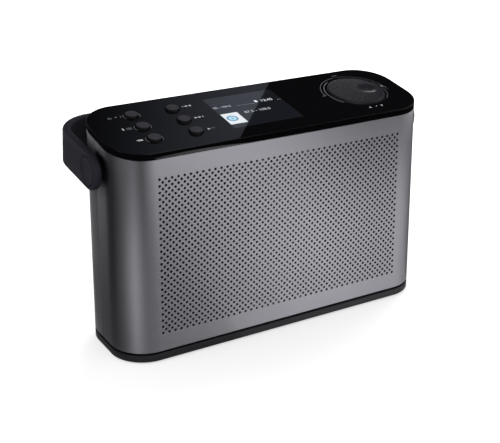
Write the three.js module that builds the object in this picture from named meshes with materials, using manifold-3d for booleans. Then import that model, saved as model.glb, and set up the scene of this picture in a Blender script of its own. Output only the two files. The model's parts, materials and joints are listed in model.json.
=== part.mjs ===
// Portable tabletop radio: perforated aluminium front sleeve, moulded rear cover, sloping
// gloss control fascia with six push buttons, a display and a tuning knob, a swinging carry
// handle and a telescopic aerial. Millimetres, +Z up, the front faces -Y.
// Origin: on the surface the feet stand on, at the centre of the overall width and depth.

import * as THREE from 'three';
import { mergeGeometries, mergeVertices } from 'three/addons/utils/BufferGeometryUtils.js';
import Module from 'manifold-3d';

const wasm = await Module();
wasm.setup();

// ---------------------------------------------------------------- driving dimensions

// Clearances
const SEAT = 0.3; // between pieces that seat on each other
const TURN = 0.35; // radial, round a turning shaft

// Housing
const BODY_WIDTH = 216.5;
const BODY_DEPTH = 64.2;
const CORNER_RADIUS = 22.2;
const CORNER_STEPS = 8;
const SMALL_CORNER_STEPS = 4;
const SEAM_DEPTH = 33.8; // where the front sleeve meets the rear cover
const TOP_SLOPE = THREE.MathUtils.degToRad(10); // the top rises to the back
const SLEEVE_HEIGHT = 119.7; // at the front face
const SLEEVE_WALL = 1.2;
const FRAME_WALL = 2;
const FRAME_PLATE = 3.6;
const COVER_WALL = 2;
const TONGUE_LENGTH = 3.5; // rear cover's lip inside the front sleeve
const TONGUE_WALL = 1.5;

const ROUND_STEPS = 16;
const MEDIUM_ROUND_STEPS = 12;
const SMALL_ROUND_STEPS = 8;

// Base
const FOOT_STAND = 0.8; // feet below the base
const FOOT_RADIUS = 6;
const FOOT_SINK = 1.2; // feet into the base
const FOOT_INSET = 20;
const BASE_BAND = 4.3;
const BASE_EDGE = 0.4;
const BASE_FLOOR = 2.5;
const GROOVE_HEIGHT = 1.6; // shadow gap under the metal
const GROOVE_DEPTH = 1.2;
const TRAY_HEIGHT = 5;
const TRAY_WALL = 2;

// Case screws
const SCREW_X = 66;
const SCREW_FRONT_Y = 14;
const SCREW_BACK_INSET = 13.2;
const SCREW_RADIUS = 1.5;
const SCREW_HEAD_RADIUS = 2.8;
const SCREW_HEAD_HEIGHT = 2;
const SCREW_LENGTH = 20;
const SCREW_SINK = 0.6;
const POST_RADIUS = 4;
const POST_TOP = 13.2;
const BOSS_HEIGHT = 12;
const WEB_THICKNESS = 2;

// Speaker grille
const GRILLE_FLAT = 0.35; // flat metal between the grille and the housing's round corner
const GRILLE_BELOW = 9.7; // metal under the grille
const GRILLE_ABOVE = 10; // metal over the grille
const GRILLE_CORNER = 3;
const GRILLE_MARGIN = 5.5;
const HOLE_PITCH = 16;
const HOLE_RADIUS = 4.6;
const HOLE_SIDES = 4;
const CLOTH_THICKNESS = 0.6;
const CLOTH_LAP = 1.5; // cloth beyond the grille on each side

// Speakers
const SPEAKER_INSET = 48.25; // axis from the housing's side
const SPEAKER_RADIUS = 28.5;
const SPEAKER_FLANGE = 2;
const SPEAKER_OPENING = 25;
const SPEAKER_DEPTH = 27;
const MAGNET_RADIUS = 17;
const MAGNET_DEPTH = 10;
const BASKET_WALL = 1.2;
const CONE_WALL = 0.8;
const CONE_DEPTH = 9;
const DUST_CAP_RADIUS = 8;
const DUST_CAP_HEIGHT = 3;
const SURROUND_WIDTH = 3; // half the rolled edge round the cone
const SURROUND_HEIGHT = 1.6;
const SPEAKER_STEPS = 14;

// Fascia
const FASCIA_BAND = 4; // from the sleeve's edge to the fascia's surface
const FASCIA_PLATE = 2.5;
const FASCIA_EDGE = 0.6;
const RIM_DEPTH = 9; // locating rim's lower edge below the surface
const RIM_WALL = 2;
const WINDOW_WIDTH = 57;
const WINDOW_LENGTH = 43.4;
const WINDOW_SHIFT = 1.6; // up the slope from the fascia's middle
const WINDOW_THICKNESS = 1.2;
const WINDOW_LEDGE = 1.5;
const WINDOW_FLOOR = 0.7;
const WINDOW_CORNER = 2;
const DISPLAY_BORDER = 2.5;
const DISPLAY_THICKNESS = 4.6;

// Push buttons, in two columns beside each other
const BUTTON_RADIUS = 3.7;
const BUTTON_PROUD = 1.7;
const BUTTON_GAP = 0.3;
const BUTTON_FLANGE = 1.2; // beyond the cap's radius
const BUTTON_FLANGE_HEIGHT = 1.3;
const BUTTON_STEM_RADIUS = 1.6;
const BUTTON_TRAVEL = 0.8;
const BUTTON_INSET = 29.45; // outer column from the housing's side
const BUTTON_COLUMN_PITCH = 27;
const BUTTON_ROW_PITCH = 15.9;
const BUTTON_SHIFT = -0.3; // middle row up the slope from the fascia's middle
const BUTTON_NAMES = [['menu', 'source', 'power'], ['play', 'next', 'previous']];
const DISH_RADIUS = 5.8;
const DISH_DEPTH = 0.4;

// Tuning knob and its encoder
const KNOB_INSET = 34.25; // from the housing's side
const KNOB_SHIFT = 0.5; // up the slope from the fascia's middle
const KNOB_RADIUS = 19.2;
const KNOB_PROUD = 1;
const KNOB_EDGE = 0.6;
const KNOB_SKIRT = 3.6; // below the fascia's surface
const KNOB_WALL = 2;
const KNOB_HUB_RADIUS = 5;
const KNOB_HUB_DEPTH = 6.2;
const KNOB_GAP = 1;
const KNOB_TRAVEL = 0.5;
const DIMPLE_OFFSET = 8.4;
const DIMPLE_RADIUS = 6.6;
const DIMPLE_DEPTH = 1;
const KNOB_STEPS = 28;
const POCKET_FLOOR = 1.5;
const SHAFT_RADIUS = 3;
const SHAFT_GRIP = 3.3; // shaft's length inside the knob
const ENCODER_SIZE = 12;
const ENCODER_HEIGHT = 4.2;
const PLUNGER_RADIUS = 4.2;
const PLUNGER_THICKNESS = 0.7;

// Control board
const BOARD_THICKNESS = 1.6;
const BOARD_DEPTH = 11.4; // top side below the fascia's surface
const BOARD_SIDE_MARGIN = 12.25; // to the housing's side
const BOARD_END_MARGIN = 10.6; // to the fascia's front and back edges
const BOARD_CORNER = 14;
const SWITCH_SIZE = 6;
const STANDOFF_RADIUS = 2.5;
const STANDOFF_INSET = 5; // from the edge of its board or of the display

// Inside the housing
const DOOR_MARGIN = 4.5; // battery door beyond the battery on each side
const DOOR_THICKNESS = 1.3;
const DOOR_LEDGE = 2.5;
const DOOR_CORNER = 3;
const DOOR_GRIP_RADIUS = 6; // half-round notch for a finger tip
const BATTERY_WIDTH = 72;
const BATTERY_DEPTH = 38;
const BATTERY_HEIGHT = 19;
const CELL_HOLLOW = 0.2; // where the wrap dips between the cells
const MAIN_BOARD_WIDTH = 110;
const MAIN_BOARD_HEIGHT = 62;
const MAIN_BOARD_INSET = 29.25; // from the housing's side
const MAIN_BOARD_Z = 60;
const CAN_SIZE = 25; // processor's shield
const CAN_THICKNESS = 3;
const CAPACITOR_RADIUS = 4;
const CAPACITOR_LENGTH = 9;
const CAPACITOR_PITCH = 10;
const SOCKET_DROP = 24; // below the main board's middle
const SOCKET_LENGTH = 10;
const JACK_SIZE = 8;
const JACK_BORE = 1.8;
const DC_SIZE = 11;
const DC_BORE = 3.2;
const DC_PIN = 1;
const SOCKET_RIM = 1; // round each bore, in the cover's hole
const SOCKET_PANEL_EDGE = 4; // recess beyond the sockets
const SOCKET_PANEL_DEPTH = 0.6;
const DC_INSET = 19; // each socket's axis from the main board's right end
const AUX_INSET = 35;
const HEADPHONE_INSET = 49;
const SOCKETS = [
  { name: 'dc_socket', inset: DC_INSET, size: DC_SIZE, bore: DC_BORE, pin: DC_PIN },
  { name: 'aux_socket', inset: AUX_INSET, size: JACK_SIZE, bore: JACK_BORE, pin: 0 },
  { name: 'headphone_socket', inset: HEADPHONE_INSET, size: JACK_SIZE, bore: JACK_BORE, pin: 0 },
];

// Carry handle
const HANDLE_PIVOT_DROP = 11.4; // below the front of the sleeve's top edge
const HANDLE_REST_TILT = THREE.MathUtils.degToRad(6.1);
const HANDLE_CLEARANCE = 1.65; // between the housing's side and the arm
const HANDLE_THICKNESS = 5.1;
const HANDLE_HEIGHT = 22.7;
const HANDLE_REACH = 57.1; // pivot axis to the outside of the grip
const HANDLE_BEND_RADIUS = 24.1;
const HANDLE_EDGE = 1.1;
const HUB_CAP_RADIUS = 8.8;
const HUB_CAP_THICKNESS = 1.3;
const PIVOT_SPIGOT_RADIUS = 4;
const PIVOT_BARREL_RADIUS = 5;
const PIVOT_WASHER_RADIUS = 8;
const PIVOT_FLANGE_RADIUS = 9;
const PIVOT_FLANGE = 2;
const PIVOT_SCREW_RADIUS = 1.7;
const PIVOT_HEAD_RADIUS = 6.2;
const PIVOT_HEAD_HEIGHT = 1.3;
const HUB_STEPS = 16;

// Telescopic aerial
const AERIAL_INSET = 24.25; // from the housing's side
const AERIAL_DROP = 2.8; // below the rear cover's top edge
const AERIAL_STANDOFF = 4; // axis behind the rear cover
const AERIAL_HEAD_RADIUS = 4;
const AERIAL_HEAD_HEIGHT = 6.4;
const AERIAL_STEM_RADIUS = 2;
const AERIAL_NUT_RADIUS = 4;
const AERIAL_NUT_THICKNESS = 1.6;
const TONGUE_THICKNESS = 2;
const AERIAL_TONGUE = 8; // pin to the start of the tube
const AERIAL_PIN_RADIUS = 0.9;
const TUBE_RADIUS = 2.2;
const TUBE_STEP = 0.45; // each section's radius less than the last
const TUBE_WALL = 0.25;
const TUBE_LENGTH = 150;
const TUBE_SECTIONS = 5;
const TUBE_SHOW = 2; // each section stands out of the last when closed
const TIP_LENGTH = 7;
const AERIAL_REST_REACH = 144; // along the closed rod from its pin
const AERIAL_REST_WIDTH = 5;
const AERIAL_REST_THICKNESS = 1.5;

// ---------------------------------------------------------------- derived places

const HALF_WIDTH = BODY_WIDTH / 2;
const BASE_BOTTOM = FOOT_STAND;
const BAND_TOP = BASE_BOTTOM + BASE_BAND;
const SLEEVE_BOTTOM = BAND_TOP + GROOVE_HEIGHT;
const SLEEVE_TOP = SLEEVE_BOTTOM + SLEEVE_HEIGHT;
const FASCIA_TOP = SLEEVE_TOP + FASCIA_BAND / Math.cos(TOP_SLOPE);
const FASCIA_LENGTH = BODY_DEPTH / Math.cos(TOP_SLOPE);
const FASCIA_MIDDLE = FASCIA_LENGTH / 2; // up the slope from the front face
const WINDOW_CENTRE = FASCIA_MIDDLE + WINDOW_SHIFT;
const BUTTON_MIDDLE = FASCIA_MIDDLE + BUTTON_SHIFT;
const KNOB_X = HALF_WIDTH - KNOB_INSET;
const KNOB_V = FASCIA_MIDDLE + KNOB_SHIFT;
const BOARD_HALF_WIDTH = HALF_WIDTH - BOARD_SIDE_MARGIN;
const BOARD_HALF_LENGTH = FASCIA_LENGTH / 2 - BOARD_END_MARGIN;
const GRILLE_WIDTH = BODY_WIDTH - 2 * (CORNER_RADIUS + GRILLE_FLAT);
const GRILLE_HEIGHT = SLEEVE_HEIGHT - GRILLE_BELOW - GRILLE_ABOVE;
const GRILLE_CENTRE_Z = SLEEVE_BOTTOM + GRILLE_BELOW + GRILLE_HEIGHT / 2;
const FRAME_INSET = SLEEVE_WALL + SEAT;
const RIM_INSET = FRAME_INSET + FRAME_WALL + SEAT;
const CLOTH_FRONT = SLEEVE_WALL + SEAT;
const CLOTH_BACK = CLOTH_FRONT + CLOTH_THICKNESS;
const FRAME_FRONT = CLOTH_BACK + SEAT;
const FRAME_BACK = FRAME_INSET + FRAME_PLATE;
const COVER_INSIDE = BODY_DEPTH - COVER_WALL;
const FLOOR_TOP = BASE_BOTTOM + BASE_FLOOR;
const DOOR_SEAT = BASE_BOTTOM + DOOR_THICKNESS + SEAT; // ledge over the battery door
const SPEAKER_X = HALF_WIDTH - SPEAKER_INSET;
const MAIN_BOARD_RIGHT = HALF_WIDTH - MAIN_BOARD_INSET;
const MAIN_BOARD_X = MAIN_BOARD_RIGHT - MAIN_BOARD_WIDTH / 2;
const SOCKET_Z = MAIN_BOARD_Z - SOCKET_DROP;
const HANDLE_PIVOT_Y = BODY_DEPTH / 2;
const HANDLE_PIVOT_Z = SLEEVE_TOP - HANDLE_PIVOT_DROP;
const HANDLE_HALF_HEIGHT = HANDLE_HEIGHT / 2;
const HANDLE_INSIDE = HALF_WIDTH + HANDLE_CLEARANCE;
const HANDLE_HALF_WIDTH = HANDLE_INSIDE + HANDLE_THICKNESS;
const OVERALL_DEPTH = HANDLE_PIVOT_Y
  + HANDLE_REACH * Math.cos(HANDLE_REST_TILT)
  + (HANDLE_HALF_HEIGHT - HANDLE_EDGE) * Math.sin(HANDLE_REST_TILT);
const POCKET_RADIUS = KNOB_RADIUS + KNOB_GAP;
const POCKET_DEPTH = KNOB_SKIRT + KNOB_TRAVEL + KNOB_GAP;
const AERIAL_X = HALF_WIDTH - AERIAL_INSET;
const AERIAL_Y = BODY_DEPTH + AERIAL_STANDOFF;
const AERIAL_Z = SLEEVE_TOP + BODY_DEPTH * Math.tan(TOP_SLOPE) - AERIAL_DROP;
const FAR = 400; // beyond every piece, for cutting tools

// ---------------------------------------------------------------- materials

function material(color, roughness, metalness, more = {}) {
  return new THREE.MeshStandardMaterial({ color, roughness, metalness, ...more });
}

const ALUMINIUM = material(0x6c6a70, 0.38, 0.9);
const COVER_PAINT = material(0x77767b, 0.42, 0.7);
const GLOSS_BLACK = material(0x08080b, 0.08, 0.0);
const BLACK_ABS = material(0x1b1b1f, 0.55, 0.0);
const SOFT_TOUCH = material(0x26252b, 0.7, 0.0);
const RUBBER = material(0x18181a, 0.9, 0.0);
const CLOTH = material(0x101012, 0.95, 0.0);
const STEEL = material(0xb9babd, 0.3, 1.0);
const MAGNET_STEEL = material(0x55565a, 0.5, 0.9);
const PAPER = material(0x232326, 0.85, 0.0);
const BOARD_GREEN = material(0x1f5a38, 0.5, 0.1);
const CELL_WRAP = material(0x2b5f9e, 0.5, 0.0);
const GLASS = material(0x10131a, 0.05, 0.0, { transparent: true, opacity: 0.5 });
const LCD = material(0x1a2230, 0.2, 0.0);

// ---------------------------------------------------------------- solids

function toSolid(geometry) {
  const bare = geometry.clone();
  bare.deleteAttribute('normal');
  bare.deleteAttribute('uv');
  const merged = mergeVertices(bare, 1e-4);
  const points = merged.attributes.position;
  const corner = [new THREE.Vector3(), new THREE.Vector3(), new THREE.Vector3()];
  const triangles = [];
  let volume = 0;
  for (let i = 0; i < merged.index.count; i += 3) {
    const ids = [0, 1, 2].map((k) => merged.index.getX(i + k));
    if (new Set(ids).size < 3) continue;
    ids.forEach((id, k) => corner[k].fromBufferAttribute(points, id));
    volume += corner[0].dot(corner[1].cross(corner[2]));
    triangles.push(ids);
  }
  if (volume < 0) triangles.forEach((ids) => ids.reverse());
  return new wasm.Manifold(new wasm.Mesh({
    numProp: 3,
    vertProperties: new Float32Array(points.array),
    triVerts: new Uint32Array(triangles.flat()),
  }));
}

function toGeometry(solid) {
  const data = solid.getMesh();
  const geometry = new THREE.BufferGeometry();
  geometry.setAttribute('position', new THREE.BufferAttribute(data.vertProperties, 3));
  geometry.setIndex(new THREE.BufferAttribute(data.triVerts, 1));
  return geometry;
}

function join(...solids) {
  return solids.reduce((whole, solid) => whole.add(solid));
}

function cut(blank, ...tools) {
  return tools.reduce((whole, tool) => whole.subtract(tool), blank);
}

function box(x0, x1, y0, y1, z0, z1) {
  const geometry = new THREE.BoxGeometry(x1 - x0, y1 - y0, z1 - z0);
  geometry.translate((x0 + x1) / 2, (y0 + y1) / 2, (z0 + z1) / 2);
  return toSolid(geometry);
}

// Extrusion of a shape in the XY plane from z0 up to z1, with both ends chamfered by edge.
function prism(shape, z0, z1, edge = 0, steps = CORNER_STEPS) {
  const geometry = new THREE.ExtrudeGeometry(shape, {
    depth: z1 - z0 - 2 * edge,
    curveSegments: steps / 2, // an arc takes two steps for each
    bevelEnabled: edge > 0,
    bevelSize: edge,
    bevelThickness: edge,
    bevelOffset: -edge,
    bevelSegments: 1,
  });
  geometry.translate(0, 0, z0 + edge);
  return geometry;
}

// Solid of revolution about Z from [radius, height] points.
function turned(profile, steps = ROUND_STEPS) {
  const points = profile.map(([radius, height]) => new THREE.Vector2(radius, height));
  const geometry = new THREE.LatheGeometry(points, steps);
  geometry.rotateX(Math.PI / 2);
  return geometry;
}

function rod(radius, z0, z1, steps = ROUND_STEPS) {
  return turned([[0, z0], [radius, z0], [radius, z1], [0, z1]], steps);
}

function tube(outer, inner, z0, z1, steps = ROUND_STEPS) {
  return turned([[inner, z0], [outer, z0], [outer, z1], [inner, z1], [inner, z0]], steps);
}

// The same, lying along X or pointing back along Y.
function alongX(geometry) {
  return geometry.rotateY(Math.PI / 2);
}

function alongY(geometry) {
  return geometry.rotateX(-Math.PI / 2);
}

function roundedRectangle(x0, x1, y0, y1, radius) {
  const shape = new THREE.Shape();
  shape.moveTo(x0 + radius, y0);
  shape.lineTo(x1 - radius, y0);
  shape.absarc(x1 - radius, y0 + radius, radius, -Math.PI / 2, 0);
  shape.lineTo(x1, y1 - radius);
  shape.absarc(x1 - radius, y1 - radius, radius, 0, Math.PI / 2);
  shape.lineTo(x0 + radius, y1);
  shape.absarc(x0 + radius, y1 - radius, radius, Math.PI / 2, Math.PI);
  shape.lineTo(x0, y0 + radius);
  shape.absarc(x0 + radius, y0 + radius, radius, Math.PI, Math.PI * 1.5);
  return shape;
}

// The housing's outline in plan, drawn inwards by inset. Depth runs from 0 at the front.
function plan(inset) {
  return roundedRectangle(
    inset - HALF_WIDTH, HALF_WIDTH - inset, inset, BODY_DEPTH - inset, CORNER_RADIUS - inset);
}

function wall(outerInset, thickness, z0, z1, insideSteps = SMALL_CORNER_STEPS) {
  return cut(
    toSolid(prism(plan(outerInset), z0, z1)),
    toSolid(prism(plan(outerInset + thickness), z0 - 1, z1 + 1, 0, insideSteps)));
}

// The fascia's own frame: x across, y up the slope from the front face, z out of it.
const fasciaFrame = new THREE.Matrix4()
  .makeRotationX(TOP_SLOPE)
  .setPosition(0, 0, FASCIA_TOP);

// Everything higher than a plane that lies parallel to the fascia, at height w over it.
function aboveFascia(w) {
  const blank = new THREE.BoxGeometry(FAR, FAR, FAR);
  return toSolid(blank.translate(0, 0, w + FAR / 2).applyMatrix4(fasciaFrame));
}

// The housing's outline in the fascia's frame: upright walls between faces parallel to it.
function leanedPlan(inset, w0, w1, edge, steps) {
  const geometry = prism(plan(inset), w0, w1, edge, steps);
  return toSolid(geometry.applyMatrix4(new THREE.Matrix4().set(
    1, 0, 0, 0,
    0, 1 / Math.cos(TOP_SLOPE), Math.tan(TOP_SLOPE), 0,
    0, 0, 1, 0,
    0, 0, 0, 1)));
}

// Flat pieces stood upright, facing the front: x stays, y becomes height.
function upright(geometry, y) {
  return geometry.rotateX(Math.PI / 2).translate(0, y, 0);
}

function placed(geometry, x, y, z) {
  return toSolid(geometry.translate(x, y, z));
}

const SCREW_PLACES = [
  [-SCREW_X, SCREW_FRONT_Y], [SCREW_X, SCREW_FRONT_Y],
  [-SCREW_X, BODY_DEPTH - SCREW_BACK_INSET], [SCREW_X, BODY_DEPTH - SCREW_BACK_INSET],
];

function pivotHoles(radius) {
  const bore = alongX(rod(radius, -FAR / 2, FAR / 2));
  return placed(bore, 0, HANDLE_PIVOT_Y, HANDLE_PIVOT_Z);
}

// ---------------------------------------------------------------- housing

function grilleOutline(grow) {
  const halfWidth = GRILLE_WIDTH / 2 + grow;
  const halfHeight = GRILLE_HEIGHT / 2 + grow;
  return roundedRectangle(-halfWidth, halfWidth, -halfHeight, halfHeight, GRILLE_CORNER + grow);
}

function uprightPlate(shape, y0, y1) {
  const plate = upright(prism(shape, 0, y1 - y0, 0, SMALL_CORNER_STEPS), y1);
  return plate.translate(0, 0, GRILLE_CENTRE_Z);
}

function frontSleeve() {
  return cut(
    wall(0, SLEEVE_WALL, SLEEVE_BOTTOM, FAR, CORNER_STEPS),
    box(-FAR, FAR, SEAM_DEPTH, FAR, 0, FAR + 1),
    aboveFascia(-FASCIA_BAND),
    toSolid(uprightPlate(grilleOutline(SEAT), -1, SLEEVE_WALL + 1)),
    pivotHoles(PIVOT_BARREL_RADIUS + SEAT));
}

// Perforated sheet: staggered rows of holes, every other row shifted by half a pitch.
function speakerGrille() {
  const columns = Math.floor((GRILLE_WIDTH - 2 * GRILLE_MARGIN) / HOLE_PITCH);
  const rows = Math.floor((GRILLE_HEIGHT - 2 * GRILLE_MARGIN) / (HOLE_PITCH / 2));
  const punches = [];
  for (let row = 0; row <= rows; row += 1) {
    const shifted = row % 2;
    for (let column = 0; column <= columns - shifted; column += 1) {
      const x = (column + shifted / 2 - columns / 2) * HOLE_PITCH;
      const z = GRILLE_CENTRE_Z + (row - rows / 2) * (HOLE_PITCH / 2);
      const punch = alongY(rod(HOLE_RADIUS, -1, SLEEVE_WALL + 1, HOLE_SIDES));
      punches.push(punch.translate(x, 0, z));
    }
  }
  const sheet = toSolid(uprightPlate(grilleOutline(0), 0, SLEEVE_WALL));
  return cut(sheet, toSolid(mergeGeometries(punches)));
}

function grilleCloth() {
  return toSolid(uprightPlate(grilleOutline(CLOTH_LAP), CLOTH_FRONT, CLOTH_BACK));
}

function boss(x, y, z0, z1) {
  const towardsWall = y < BODY_DEPTH / 2 ? FRAME_BACK - 1 : COVER_INSIDE + 1;
  const web = box(x - WEB_THICKNESS / 2, x + WEB_THICKNESS / 2,
    Math.min(y, towardsWall), Math.max(y, towardsWall), z0, z1);
  const bore = placed(
    rod(SCREW_RADIUS + SEAT, z0 - 1, z1 - WEB_THICKNESS, SMALL_ROUND_STEPS), x, y, 0);
  return cut(join(placed(rod(POST_RADIUS, z0, z1), x, y, 0), web), bore);
}

// Inner front frame: carries the speakers, the cloth and the grille, inside the sleeve.
function frontFrame() {
  const shell = wall(FRAME_INSET, FRAME_WALL, SLEEVE_BOTTOM, FAR);
  const plate = cut(
    toSolid(prism(plan(FRAME_INSET), SLEEVE_BOTTOM + TRAY_HEIGHT + SEAT, FAR)),
    box(-FAR, FAR, FRAME_BACK, FAR, 0, FAR + 1),
    aboveFascia(-RIM_DEPTH - SEAT));
  const openings = [-SPEAKER_X, SPEAKER_X].map((x) => (
    placed(alongY(rod(SPEAKER_OPENING, -FAR / 2, FAR / 2, SPEAKER_STEPS)), x, 0, GRILLE_CENTRE_Z)));
  const bossBottom = POST_TOP + SEAT;
  const bosses = SCREW_PLACES.slice(0, 2).map(([x, y]) => (
    boss(x, y, bossBottom, bossBottom + BOSS_HEIGHT)));
  return cut(
    join(cut(
      join(shell, plate),
      box(-FAR, FAR, SEAM_DEPTH - TONGUE_LENGTH - SEAT, FAR, 0, FAR + 1)), ...bosses),
    aboveFascia(-FASCIA_BAND),
    toSolid(uprightPlate(grilleOutline(CLOTH_LAP + SEAT), 0, FRAME_FRONT)),
    ...openings,
    pivotHoles(PIVOT_BARREL_RADIUS + SEAT));
}

// Rear cover: moulded shell with a lip inside the sleeve, a boss for each case screw and
// board post, holes for the sockets and the aerial, and a rest for the closed aerial.
function rearCover() {
  const sides = cut(
    wall(0, COVER_WALL, SLEEVE_BOTTOM, FAR, CORNER_STEPS),
    box(-FAR, FAR, -1, SEAM_DEPTH + SEAT, 0, FAR + 1));
  const lip = cut(
    wall(FRAME_INSET, TONGUE_WALL, SLEEVE_BOTTOM, FAR),
    box(-FAR, FAR, -1, SEAM_DEPTH - TONGUE_LENGTH, 0, FAR + 1),
    box(-FAR, FAR, SEAM_DEPTH + TONGUE_LENGTH, FAR, 0, FAR + 1));
  const bossBottom = POST_TOP + SEAT;
  const bosses = SCREW_PLACES.slice(2).map(([x, y]) => (
    boss(x, y, bossBottom, bossBottom + BOSS_HEIGHT)));
  const posts = boardPosts().map(([x, z]) => (
    placed(alongY(rod(STANDOFF_RADIUS, boardBack() + SEAT, COVER_INSIDE + 1,
      SMALL_ROUND_STEPS)), x, 0, z)));
  const restX = AERIAL_X - AERIAL_REST_REACH;
  const rest = box(restX, restX + AERIAL_REST_WIDTH,
    COVER_INSIDE + 1, AERIAL_Y + TUBE_RADIUS,
    AERIAL_Z - TUBE_RADIUS - SEAT - AERIAL_REST_THICKNESS, AERIAL_Z - TUBE_RADIUS - SEAT);
  const socketHoles = SOCKETS.map(({ inset, bore }) => (
    placed(alongY(rod(bore + SOCKET_RIM, COVER_INSIDE - 1, BODY_DEPTH + 1, MEDIUM_ROUND_STEPS)),
      MAIN_BOARD_RIGHT - inset, 0, SOCKET_Z)));
  const panelEdge = DC_SIZE / 2 + SOCKET_PANEL_EDGE;
  const socketPanel = box(
    MAIN_BOARD_RIGHT - HEADPHONE_INSET - panelEdge, MAIN_BOARD_RIGHT - DC_INSET + panelEdge,
    BODY_DEPTH - SOCKET_PANEL_DEPTH, FAR, SOCKET_Z - panelEdge, SOCKET_Z + panelEdge);
  const aerialHole = placed(
    alongY(rod(AERIAL_STEM_RADIUS + TURN, COVER_INSIDE - 1, BODY_DEPTH + 1)),
    AERIAL_X, 0, AERIAL_Z);
  return cut(
    join(sides, lip, ...bosses, ...posts, rest),
    aboveFascia(-FASCIA_BAND),
    pivotHoles(PIVOT_BARREL_RADIUS + SEAT),
    aerialHole,
    socketPanel,
    ...socketHoles);
}

function footPlaces() {
  const x = HALF_WIDTH - FOOT_INSET;
  return [
    ['foot_front_left', -x, FOOT_INSET], ['foot_front_right', x, FOOT_INSET],
    ['foot_rear_left', -x, BODY_DEPTH - FOOT_INSET],
    ['foot_rear_right', x, BODY_DEPTH - FOOT_INSET],
  ];
}

// Base: dark band below the metal, a recessed neck under it and a tray wall inside it.
function bottomCover() {
  const band = toSolid(prism(plan(0), BASE_BOTTOM, BAND_TOP, BASE_EDGE));
  const neck = toSolid(prism(plan(GROOVE_DEPTH), FLOOR_TOP, SLEEVE_BOTTOM - SEAT));
  const tray = toSolid(prism(
    plan(RIM_INSET), FLOOR_TOP, SLEEVE_BOTTOM + TRAY_HEIGHT, 0, SMALL_CORNER_STEPS));
  const hollow = toSolid(prism(
    plan(RIM_INSET + TRAY_WALL), FLOOR_TOP, FAR, 0, SMALL_CORNER_STEPS));
  const headRoom = BASE_BOTTOM + SCREW_SINK + SCREW_HEAD_HEIGHT + SEAT;
  const posts = SCREW_PLACES.map(([x, y]) => (
    placed(rod(POST_RADIUS, BASE_BOTTOM + 1, POST_TOP, MEDIUM_ROUND_STEPS), x, y, 0)));
  const bores = SCREW_PLACES.map(([x, y]) => placed(turned([
    [0, 0], [SCREW_HEAD_RADIUS + SEAT, 0], [SCREW_HEAD_RADIUS + SEAT, headRoom],
    [SCREW_RADIUS + SEAT, headRoom], [SCREW_RADIUS + SEAT, POST_TOP + 1], [0, POST_TOP + 1],
  ], SMALL_ROUND_STEPS), x, y, 0));
  const seats = footPlaces().map(([, x, y]) => (
    placed(rod(FOOT_RADIUS + SEAT, 0, BASE_BOTTOM + FOOT_SINK + SEAT, MEDIUM_ROUND_STEPS), x, y, 0)));
  const rebate = toSolid(prism(doorOutline(SEAT), 0, DOOR_SEAT, 0, SMALL_CORNER_STEPS));
  const doorway = toSolid(prism(doorOutline(-DOOR_LEDGE), 0, FLOOR_TOP + 1, 0, 2));
  return cut(
    join(cut(join(band, neck, tray), hollow), ...posts),
    rebate, doorway, ...bores, ...seats);
}

// Outline of the battery door in the base, drawn outwards by grow.
function doorOutline(grow) {
  const halfWidth = BATTERY_WIDTH / 2 + DOOR_MARGIN + grow;
  const halfDepth = BATTERY_DEPTH / 2 + DOOR_MARGIN + grow;
  return roundedRectangle(-halfWidth, halfWidth,
    BODY_DEPTH / 2 - halfDepth, BODY_DEPTH / 2 + halfDepth, DOOR_CORNER);
}

function batteryDoor() {
  const plate = toSolid(prism(
    doorOutline(0), BASE_BOTTOM, DOOR_SEAT - SEAT, 0, SMALL_CORNER_STEPS));
  const grip = placed(rod(DOOR_GRIP_RADIUS, 0, BASE_BOTTOM + DOOR_THICKNESS / 2),
    0, BODY_DEPTH / 2 + BATTERY_DEPTH / 2 + DOOR_MARGIN, 0);
  return cut(plate, grip);
}

function foot() {
  return toSolid(turned([
    [0, 0], [FOOT_RADIUS - BASE_EDGE, 0], [FOOT_RADIUS, BASE_EDGE],
    [FOOT_RADIUS, FOOT_STAND + FOOT_SINK], [0, FOOT_STAND + FOOT_SINK],
  ]));
}

function caseScrew() {
  const headBottom = BASE_BOTTOM + SCREW_SINK;
  const headTop = headBottom + SCREW_HEAD_HEIGHT;
  const head = toSolid(rod(SCREW_HEAD_RADIUS, headBottom, headTop, SMALL_ROUND_STEPS));
  const shank = toSolid(rod(SCREW_RADIUS, headTop - 1, headTop + SCREW_LENGTH, SMALL_ROUND_STEPS));
  const slot = SCREW_HEAD_RADIUS / 4;
  const cross = [
    box(-SCREW_RADIUS, SCREW_RADIUS, -slot / 2, slot / 2, 0, headBottom + 1),
    box(-slot / 2, slot / 2, -SCREW_RADIUS, SCREW_RADIUS, 0, headBottom + 1),
  ];
  return cut(join(head, shank), ...cross);
}

// ---------------------------------------------------------------- sound

// Basket and magnet, turned about the speaker's axis. Height runs from front to back.
function speakerBasket() {
  const back = SPEAKER_DEPTH;
  const magnetFront = back - MAGNET_DEPTH;
  const throat = SPEAKER_OPENING - BASKET_WALL;
  const neck = MAGNET_RADIUS - 2 * BASKET_WALL;
  return turned([
    [throat, 0], [SPEAKER_RADIUS, 0], [SPEAKER_RADIUS, SPEAKER_FLANGE],
    [SPEAKER_OPENING, SPEAKER_FLANGE], [SPEAKER_OPENING, SPEAKER_FLANGE + BASKET_WALL],
    [neck, magnetFront], [MAGNET_RADIUS, magnetFront], [MAGNET_RADIUS, back], [0, back],
    [0, magnetFront + BASKET_WALL], [neck - BASKET_WALL, magnetFront],
    [throat, SPEAKER_FLANGE + BASKET_WALL], [throat, 0],
  ], SPEAKER_STEPS);
}

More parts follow.
